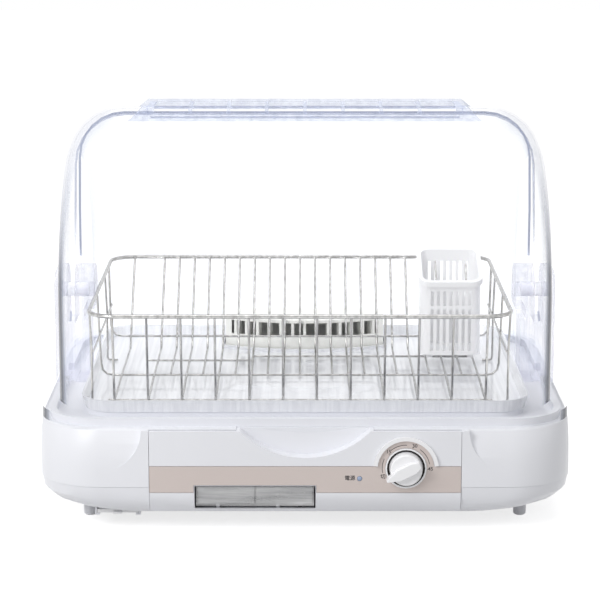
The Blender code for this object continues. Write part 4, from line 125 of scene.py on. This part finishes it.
class Shader:
    """A material whose nodes are added one call at a time."""

    def __init__(self, name):
        self.material = bpy.data.materials.new(name)
        self.material.use_nodes = True
        self.tree = self.material.node_tree
        self.main = self.tree.nodes["Principled BSDF"]

    def set(self, **values):
        for key, value in values.items():
            self.main.inputs[key.replace("_", " ")].default_value = value
        return self

    def node(self, kind, inputs=None, **settings):
        """A new node, with each input linked to a socket or set to a plain value."""
        made = self.tree.nodes.new(kind)
        for key, value in settings.items():
            setattr(made, key, value)
        for key, value in (inputs or {}).items():
            if isinstance(value, bpy.types.NodeSocket):
                self.tree.links.new(value, made.inputs[key])
            else:
                made.inputs[key].default_value = value
        return made

    def drive(self, socket, value):
        self.tree.links.new(value, self.main.inputs[socket])
        return self

    def noise(self, scale, detail, stretch=(1, 1, 1), roughness=0.55):
        place = self.node("ShaderNodeTexCoord").outputs["Object"]
        stretched = self.node("ShaderNodeMapping", {"Vector": place, "Scale": stretch}).outputs["Vector"]
        made = self.node("ShaderNodeTexNoise", {"Vector": stretched, "Scale": scale, "Detail": detail,
                                                "Roughness": roughness})
        return made.outputs["Fac"]

    def ramp(self, value, stops):
        made = self.node("ShaderNodeValToRGB", {"Fac": value})
        band = made.color_ramp
        band.elements[0].position, band.elements[0].color = stops[0]
        band.elements[1].position, band.elements[1].color = stops[-1]
        for position, colour in stops[1:-1]:
            band.elements.new(position).color = colour
        return made.outputs["Color"]

    def range(self, value, low, high, start=0.0, end=1.0):
        made = self.node("ShaderNodeMapRange", {"Value": value, "From Min": start, "From Max": end,
                                                "To Min": low, "To Max": high})
        return made.outputs["Result"]

    def bump(self, value, strength, distance):
        made = self.node("ShaderNodeBump", {"Height": value, "Strength": strength, "Distance": distance})
        return self.drive("Normal", made.outputs["Normal"])

    def math(self, operation, first, second=0.0):
        return self.node("ShaderNodeMath", {0: first, 1: second}, operation=operation).outputs[0]

    def product(self, first, *others):
        for other in others:
            first = self.math("MULTIPLY", first, other)
        return first

    def vector(self, operation, first, second=(0, 0, 0), result="Vector"):
        made = self.node("ShaderNodeVectorMath", {0: first, 1: second}, operation=operation)
        return made.outputs[result]

    def parted(self, value):
        return self.node("ShaderNodeSeparateXYZ", {"Vector": value}).outputs

    def mix(self, share, first, second):
        return self.node("ShaderNodeMix", {0: share, 6: first, 7: second}, data_type="RGBA").outputs[2]

    def facing(self, blend):
        return self.node("ShaderNodeLayerWeight", {"Blend": blend}).outputs["Facing"]

    def clear(self, alpha, straight):
        """See-through by alpha, or straight as unbent transmission, which isn't limited to eight layers."""
        if straight:
            self.set(IOR=1.0, Roughness=0.0)
            return self.drive("Transmission Weight", self.range(alpha, 1.0, 0.0))
        self.drive("Alpha", alpha)
        return self.bump(self.noise(14.0, 2), 0.12, 0.0006)


def moulded(name, colour, roughness, grain=900.0, depth=0.00004, coat=0.0, mottle=0.03):
    """Moulded plastic: a fine grain, slight flow mottling, and roughness that wanders a little."""
    made = Shader(name).set(Roughness=roughness, Coat_Weight=coat, IOR=1.49)
    flow = [(0.3, darker(colour, 1 - mottle)), (0.7, colour)]
    made.drive("Base Color", made.ramp(made.noise(9.0, 3), flow))
    made.drive("Roughness", made.range(made.noise(40.0, 2), roughness * 0.8, roughness * 1.2))
    return made.bump(made.noise(grain, 2), 0.25, depth).material


def painted_limb_shade(made, facing, normal, height, depth):
    """How strongly a sheet gets painted dark shade, standing in for refraction, where it bends to the sides,
    most of all outside, low and in front.
    """
    sideways = made.math("ABSOLUTE", made.parted(normal)["X"])
    bent = made.range(sideways, 0.0, 1.0, 0.08, 0.3)
    not_flat = made.range(sideways, 1.0, 0.0, 0.995, 0.999)
    turned = made.ramp(facing, levels((0.5, 0), (0.6, 0.7), (0.7, 0.95), (1, 0.95)))
    outside = made.range(made.node("ShaderNodeNewGeometry").outputs["Backfacing"], 1.0, 0.15)
    low = made.range(height, 1.0, 0.3, *LIMB_SHADE_HEIGHTS)
    in_front = made.range(depth, 1.0, 0.2, *LIMB_SHADE_DEPTHS)
    return made.product(bent, not_flat, turned, outside, low, in_front)


def sheet_rim(made, normal, place, height):
    """How strongly a sheet is lined on its cut rims above its foot, which face round the hood's axis."""
    spoke = made.vector("SUBTRACT", place, HOOD_AXIS)
    round_way = made.vector("NORMALIZE", made.vector("CROSS_PRODUCT", (1, 0, 0), spoke))
    along = made.math("ABSOLUTE", made.vector("DOT_PRODUCT", normal, round_way, "Value"))
    rim = made.range(along, 0.0, RIM_LEVEL, 0.8, 0.95)
    return made.product(rim, made.range(height, 0.0, 1.0, *RIM_HEIGHTS))


def clear_sheet(name, straight):
    """The hoods' clear sheet: see-through face on, with painted dark shade standing in for refraction where
    it bends away, and lined along its cut rims.
    """
    made = Shader(name).set(Roughness=0.04, IOR=1.49, Specular_IOR_Level=0.12)
    facing = made.facing(0.5)
    coordinates = made.node("ShaderNodeTexCoord").outputs
    normal, place = coordinates["Normal"], coordinates["Object"]
    parted = made.parted(place)
    height, depth = parted["Z"], parted["Y"]
    limb_shade = painted_limb_shade(made, facing, normal, height, depth)
    rim = sheet_rim(made, normal, place, height)
    face = made.ramp(facing, levels((0.0, 0.012), (0.8, 0.03), (0.9, 0.07), (0.97, 0.3), (1.0, 0.8)))
    alpha = made.math("MAXIMUM", face, made.math("MAXIMUM", limb_shade, rim))
    tints = [(0.6, rgb(216, 224, 242)), (0.93, rgb(222, 226, 242)), (1.0, rgb(140, 146, 166))]
    lined = made.mix(rim, made.ramp(facing, tints), rgb(122, 128, 156))
    # Painted shade along the bends: dark low down, paler higher up
    limb_shade_tone = made.range(height, 0.0, 1.0, *LIMB_SHADE_TONE_HEIGHTS)
    colour = made.mix(limb_shade, lined, made.mix(limb_shade_tone, rgb(70, 74, 84), rgb(132, 138, 164)))
    if straight:
        colour = made.mix(made.range(alpha, 0.0, 1.0, 0.05, 0.4), rgb(252, 253, 255), colour)
    return made.drive("Base Color", colour).clear(alpha, straight).material


def clear_block(name, colour, edge, low, high):
    """Thick clear moulding with faint streaks, from low alpha face on to high alpha at its edges."""
    made = Shader(name).set(Specular_IOR_Level=0.6)
    facing = made.facing(0.5)
    streak = made.noise(150.0, 3, (1, 1, 0.12))
    made.drive("Base Color", made.mix(made.range(streak, 0.0, 0.7, 0.35, 0.7), colour, edge))
    stops = levels((0.0, low), (0.75, low * 1.5), (0.93, (low + high) / 2), (1, high))
    return made.clear(made.ramp(facing, stops), True).material


def clear_cup():
    """The drain cup's clear wall, with water marks and moulding streaks along its width."""
    made = Shader("clear cup plastic").set(IOR=1.49, Specular_IOR_Level=0.7)
    made.set(Coat_Weight=0.5, Coat_Roughness=0.03)
    streak = made.noise(60.0, 4, (0.12, 0.3, 1.6), 0.6)
    made.drive("Base Color", made.ramp(streak, [(0.35, rgb(226, 227, 229)), (0.62, rgb(254, 254, 255))]))
    made.drive("Alpha", made.range(streak, 0.16, 0.5, 0.3, 0.7))
    made.drive("Roughness", made.range(streak, 0.05, 0.14))
    return made.bump(streak, 0.25, 0.0004).material


def tray_plastic():
    """The glossy tray, with its faint streaks from front to back."""
    made = Shader("glossy tray plastic").set(IOR=1.49, Coat_Weight=0.4, Coat_Roughness=0.06)
    streak = made.noise(330.0, 3, (1, 0.02, 0.1))
    made.drive("Base Color", made.ramp(streak, [(0.35, rgb(232, 233, 237)), (0.65, rgb(246, 247, 250))]))
    made.drive("Roughness", made.range(streak, 0.08, 0.18))
    return made.bump(streak, 0.2, 0.0002).material


def lamp_lens():
    """The power lamp's pale blue window, darker where it turns away."""
    made = Shader("pale blue lamp").set(Roughness=0.15, IOR=1.49)
    stops = [(0.0, rgb(160, 176, 204)), (1.0, rgb(128, 144, 176))]
    return made.drive("Base Color", made.ramp(made.facing(0.4), stops)).material


def wire_steel():
    """Bright drawn wire with fine upright marks."""
    made = Shader("bright drawn wire").set(Metallic=1.0, Anisotropic=0.3)
    streak = made.noise(260.0, 3, (1, 1, 0.15))
    made.drive("Base Color", made.ramp(streak, [(0.3, rgb(158, 157, 155)), (0.7, rgb(204, 203, 201))]))
    made.drive("Roughness", made.range(streak, 0.10, 0.20))
    return made.bump(made.noise(1500.0, 2, (1, 1, 0.2)), 0.15, 0.00002).material


def metal(name, colour, roughness):
    """Plain metal with an upright grain."""
    made = Shader(name).set(Metallic=1.0)
    grain = made.noise(300.0, 3, (1, 1, 0.1))
    made.drive("Roughness", made.range(grain, roughness * 0.8, roughness * 1.3))
    return made.drive("Base Color", made.ramp(grain, [(0.3, darker(colour, 0.9)), (0.7, colour)])).material


WHITE = moulded("white moulded plastic", rgb(240, 241, 246), 0.32)
BRIGHT = moulded("bright white trim", rgb(250, 250, 252), 0.24)
CREAM = moulded("off-white outlet plastic", rgb(252, 252, 247), 0.42)
HOLDER = moulded("white holder plastic", rgb(254, 254, 255), 0.36)
HOOD = clear_sheet("clear hood plastic", False)
REAR = clear_sheet("clear rear plastic", True)
VENT = clear_block("clear vent plastic", rgb(242, 245, 252), rgb(206, 210, 224), 0.10, 0.7)
BRACKET = clear_block("clear bracket plastic", rgb(250, 250, 253), rgb(214, 216, 226), 0.11, 0.6)
ACCENT = moulded("pinkish satin band", rgb(213, 201, 196), 0.34, grain=1400.0, depth=0.00002, coat=0.1,
                 mottle=0.02)
RUBBER = moulded("black rubber", rgb(26, 26, 28), 0.62, grain=700.0, depth=0.00008)
GREY = moulded("grey inner plastic", rgb(150, 152, 155), 0.5)
# Painted shade: the near-black colour of the ring in the dial's gap
GAP_SHADE = moulded("painted shade in dial gap", rgb(22, 14, 10), 0.7)
PRINT = moulded("grey print", rgb(52, 49, 50), 0.5, grain=1800.0, depth=0.00001)
SEE_THROUGH = (HOOD, REAR, VENT, BRACKET)
LOOKS = {
    "front_hood": HOOD, "rear_cover": REAR, "exhaust_vent": VENT,
    "hinge_bracket_left": BRACKET, "hinge_bracket_right": BRACKET,
    "hinge_pin_left": BRIGHT, "hinge_pin_right": BRIGHT,
    "dial_bezel": BRIGHT, "dial_collar": BRIGHT, "timer_knob": BRIGHT, "timer_body": GREY,
    "accent_band": ACCENT, "power_lamp": lamp_lens(), "cord_gland": RUBBER,
    "drain_cup": clear_cup(), "drain_plug": RUBBER, "drain_tray": tray_plastic(),
    "basket": wire_steel(), "cutlery_holder": HOLDER, "intake_filter": HOLDER,
    "warm_air_outlet": CREAM, "air_duct": CREAM, "blower_casing": GREY, "fan_wheel": GREY,
    "fan_motor": metal("zinc plate", rgb(190, 190, 188), 0.35),
    "heater_element": metal("fin aluminium", rgb(205, 206, 208), 0.3),
}


def rounding(degrees):
    """Nodes that weld a shape's facets and shade them round, up to an angle, without moving a point."""
    group = bpy.data.node_groups.new(f"round to {degrees:.0f}", "GeometryNodeTree")
    for way in ("INPUT", "OUTPUT"):
        group.interface.new_socket("Geometry", in_out=way, socket_type="NodeSocketGeometry")
    names = ("NodeGroupInput", "GeometryNodeMergeByDistance", "GeometryNodeRemoveAttribute",
             "GeometryNodeSetShadeSmooth", "GeometryNodeSetShadeSmooth", "NodeGroupOutput")
    line = [group.nodes.new(name) for name in names]
    for before, after in zip(line, line[1:]):
        group.links.new(before.outputs[0], after.inputs["Geometry"])
    _, weld, remove, faces, edges, _ = line
    weld.inputs["Distance"].default_value = WELD
    remove.inputs["Name"].default_value = "custom_normal"
    faces.domain = "FACE"
    edges.domain = "EDGE"
    angle = group.nodes.new("GeometryNodeInputMeshEdgeAngle")
    below = group.nodes.new("FunctionNodeCompare")
    below.operation = "LESS_THAN"
    below.inputs["B"].default_value = math.radians(degrees)
    group.links.new(angle.outputs["Unsigned Angle"], below.inputs["A"])
    group.links.new(below.outputs["Result"], edges.inputs["Shade Smooth"])
    return group


def dress_nodes():
    """Each node's material and its round shading, which all but the see-through ones weight by face."""
    rounders = {}
    for name, node in nodes.items():
        look = LOOKS.get(name, WHITE)
        node.data.materials.clear()
        node.data.materials.append(look)
        degrees = ROUND_DEG.get(name, USUAL_ROUND_DEG)
        if degrees not in rounders:
            rounders[degrees] = rounding(degrees)
        node.modifiers.new("rounding", "NODES").node_group = rounders[degrees]
        if look not in SEE_THROUGH:
            node.modifiers.new("even faces", "WEIGHTED_NORMAL").keep_sharp = True


def piece(name, bm, material, body):
    """A new mesh piece, riding on a body."""
    mesh = bpy.data.meshes.new(name)
    bm.to_mesh(mesh)
    bm.free()
    mesh.materials.append(material)
    made = bpy.data.objects.new(name, mesh)
    bpy.context.scene.collection.objects.link(made)
    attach(made, body)


def make_word(name, text, size, place):
    """A figure, sign or word as a thin printed shape on the front, with its middle at a place (x, z)."""
    curve = bpy.data.curves.new(name, "FONT")
    curve.body = text
    curve.size = size
    curve.align_x = "CENTER"
    curve.align_y = "CENTER"
    curve.extrude = PRINT_DEPTH / 2
    curve.offset = BOLD
    curve.resolution_u = SIGN_STEPS
    shape = bpy.data.objects.new(name + "_curve", curve)
    bpy.context.scene.collection.objects.link(shape)
    bpy.context.view_layer.update()
    mesh = bpy.data.meshes.new_from_object(shape.evaluated_get(bpy.context.evaluated_depsgraph_get()))
    bpy.data.objects.remove(shape)
    bpy.data.curves.remove(curve)
    middle = Matrix.Translation((place[0], FACE_Y - PRINT_DEPTH / 2, place[1]))
    mesh.transform(middle @ Matrix.Rotation(math.pi / 2, 4, "X"))
    bm = bmesh.new()
    bm.from_mesh(mesh)
    bpy.data.meshes.remove(mesh)
    piece(name, bm, PRINT, "base")


def beside(place, offset):
    """A place (x, z) moved by an offset."""
    return (place[0] + offset[0], place[1] + offset[1])


def on_dial(radius, turn):
    """The point (x, z) at a radius from the dial's middle, turned by an angle in radians."""
    return beside(DIAL, (radius * math.cos(turn), radius * math.sin(turn)))


def strip(bm, points):
    """A thin printed line on the front, along points (x, z)."""
    left, right = [], []
    for i, (x, z) in enumerate(points):
        before, after = points[max(i - 1, 0)], points[min(i + 1, len(points) - 1)]
        along = Vector((after[0] - before[0], after[1] - before[1])).normalized()
        across = Vector((-along.y, along.x)) * LINE_WIDTH / 2
        left.append(bm.verts.new((x + across.x, FACE_Y - PRINT_DEPTH, z + across.y)))
        right.append(bm.verts.new((x - across.x, FACE_Y - PRINT_DEPTH, z - across.y)))
    for i in range(len(points) - 1):
        bm.faces.new((left[i], left[i + 1], right[i + 1], right[i]))


def make_dial_marks():
    """The dial's printed arcs between its signs, and a tick at each sign."""
    bm = bmesh.new()
    for start, end in ARCS:
        angles = [start + (end - start) * i / ARC_STEPS for i in range(ARC_STEPS + 1)]
        strip(bm, [on_dial(ARC_RADIUS, math.radians(angle)) for angle in angles])
    for angle in TICKS:
        strip(bm, [on_dial(radius, math.radians(angle)) for radius in TICK_RADII])
    piece("dial_marks", bm, PRINT, "base")


def make_gap_shade_ring():
    """The ring of painted shade round the knob, flat and four-sided in section."""
    bm = bmesh.new()
    back = FACE_Y + GAP_SUNK
    front = back - GAP_THICKNESS
    rings = []
    for radius, y in ((GAP_INNER, back), (GAP_INNER, front), (GAP_OUTER, front), (GAP_OUTER, back)):
        points = [on_dial(radius, 2 * math.pi * i / GAP_SIDES) for i in range(GAP_SIDES)]
        rings.append([bm.verts.new((x, y, z)) for x, z in points])
    for a, b in zip(rings, rings[1:] + rings[:1]):
        for i in range(GAP_SIDES):
            j = (i + 1) % GAP_SIDES
            bm.faces.new((a[i], a[j], b[j], b[i]))
    bmesh.ops.recalc_face_normals(bm, faces=bm.faces)
    piece("dial_gap_painted_shade", bm, GAP_SHADE, "base")


def seen_glow(tree, kind, low, high):
    """White light, high where the camera looks, also by gloss or through clear plastic, else low."""
    path = tree.nodes.new("ShaderNodeLightPath").outputs
    seen = path["Is Camera Ray"]
    for way in ("Is Glossy Ray", "Is Transmission Ray"):
        either = tree.nodes.new("ShaderNodeMath")
        either.operation = "MAXIMUM"
        tree.links.new(seen, either.inputs[0])
        tree.links.new(path[way], either.inputs[1])
        seen = either.outputs[0]
    mix = tree.nodes.new("ShaderNodeMixShader")
    tree.links.new(seen, mix.inputs["Fac"])
    for socket, strength in ((1, low), (2, high)):
        glow = tree.nodes.new(kind)
        glow.inputs["Color"].default_value = (1, 1, 1, 1)
        glow.inputs["Strength"].default_value = strength
        tree.links.new(glow.outputs[0], mix.inputs[socket])
    return mix.outputs[0]


def make_floor():
    """A white floor that keeps the object's soft shadow."""
    material = bpy.data.materials.new("white floor")
    material.use_nodes = True
    tree = material.node_tree
    tree.nodes.clear()
    diffuse = tree.nodes.new("ShaderNodeBsdfDiffuse")
    diffuse.inputs["Color"].default_value = (FLOOR_GREY, FLOOR_GREY, FLOOR_GREY, 1)
    add = tree.nodes.new("ShaderNodeAddShader")
    tree.links.new(diffuse.outputs[0], add.inputs[0])
    tree.links.new(seen_glow(tree, "ShaderNodeEmission", 0, FLOOR_GLOW), add.inputs[1])
    tree.links.new(add.outputs[0], tree.nodes.new("ShaderNodeOutputMaterial").inputs["Surface"])
    mesh = bpy.data.meshes.new("floor")
    corners = [(x * FLOOR_HALF, y * FLOOR_HALF, 0) for x, y in ((-1, -1), (1, -1), (1, 1), (-1, 1))]
    mesh.from_pydata(corners, [], [(0, 1, 2, 3)])
    mesh.materials.append(material)
    floor = bpy.data.objects.new("floor", mesh)
    bpy.context.scene.collection.objects.link(floor)


def make_world():
    """A white surround that lights the object softly."""
    world = bpy.data.worlds.new("studio")
    bpy.context.scene.world = world
    world.use_nodes = True
    tree = world.node_tree
    tree.nodes.clear()
    light = seen_glow(tree, "ShaderNodeBackground", WORLD_LEVEL, SEEN_WORLD_LEVEL)
    tree.links.new(light, tree.nodes.new("ShaderNodeOutputWorld").inputs["Surface"])


def make_light(name, place, target, size, power):
    """A soft round light that looks at its target."""
    data = bpy.data.lights.new(name, "AREA")
    data.shape = "DISK"
    data.size = size
    data.energy = power
    light = bpy.data.objects.new(name, data)
    bpy.context.scene.collection.objects.link(light)
    light.location = place
    light.rotation_euler = (Vector(target) - Vector(place)).to_track_quat("-Z", "Y").to_euler()


def make_camera():
    """The photo's camera, straight in front and looking down a little."""
    data = bpy.data.cameras.new("camera")
    data.sensor_width = SENSOR_WIDTH
    data.lens = LENS
    camera = bpy.data.objects.new("camera", data)
    bpy.context.scene.collection.objects.link(camera)
    camera.location = CAMERA_PLACE
    camera.rotation_euler = (math.radians(90 - CAMERA_DOWN_DEG), 0, 0)
    bpy.context.scene.camera = camera


dress_nodes()
for name, text, offset in DIAL_SIGNS:
    make_word(name, text, DIAL_SIGN_SIZE, beside(DIAL, offset))
make_word("lamp_word", "電源", LAMP_WORD_SIZE, beside(LAMP, LAMP_WORD_OFFSET))
make_dial_marks()
make_gap_shade_ring()
make_floor()
make_world()
for values in LIGHTS:
    make_light(*values)
make_camera()
bpy.context.scene.view_settings.view_transform = "Standard"
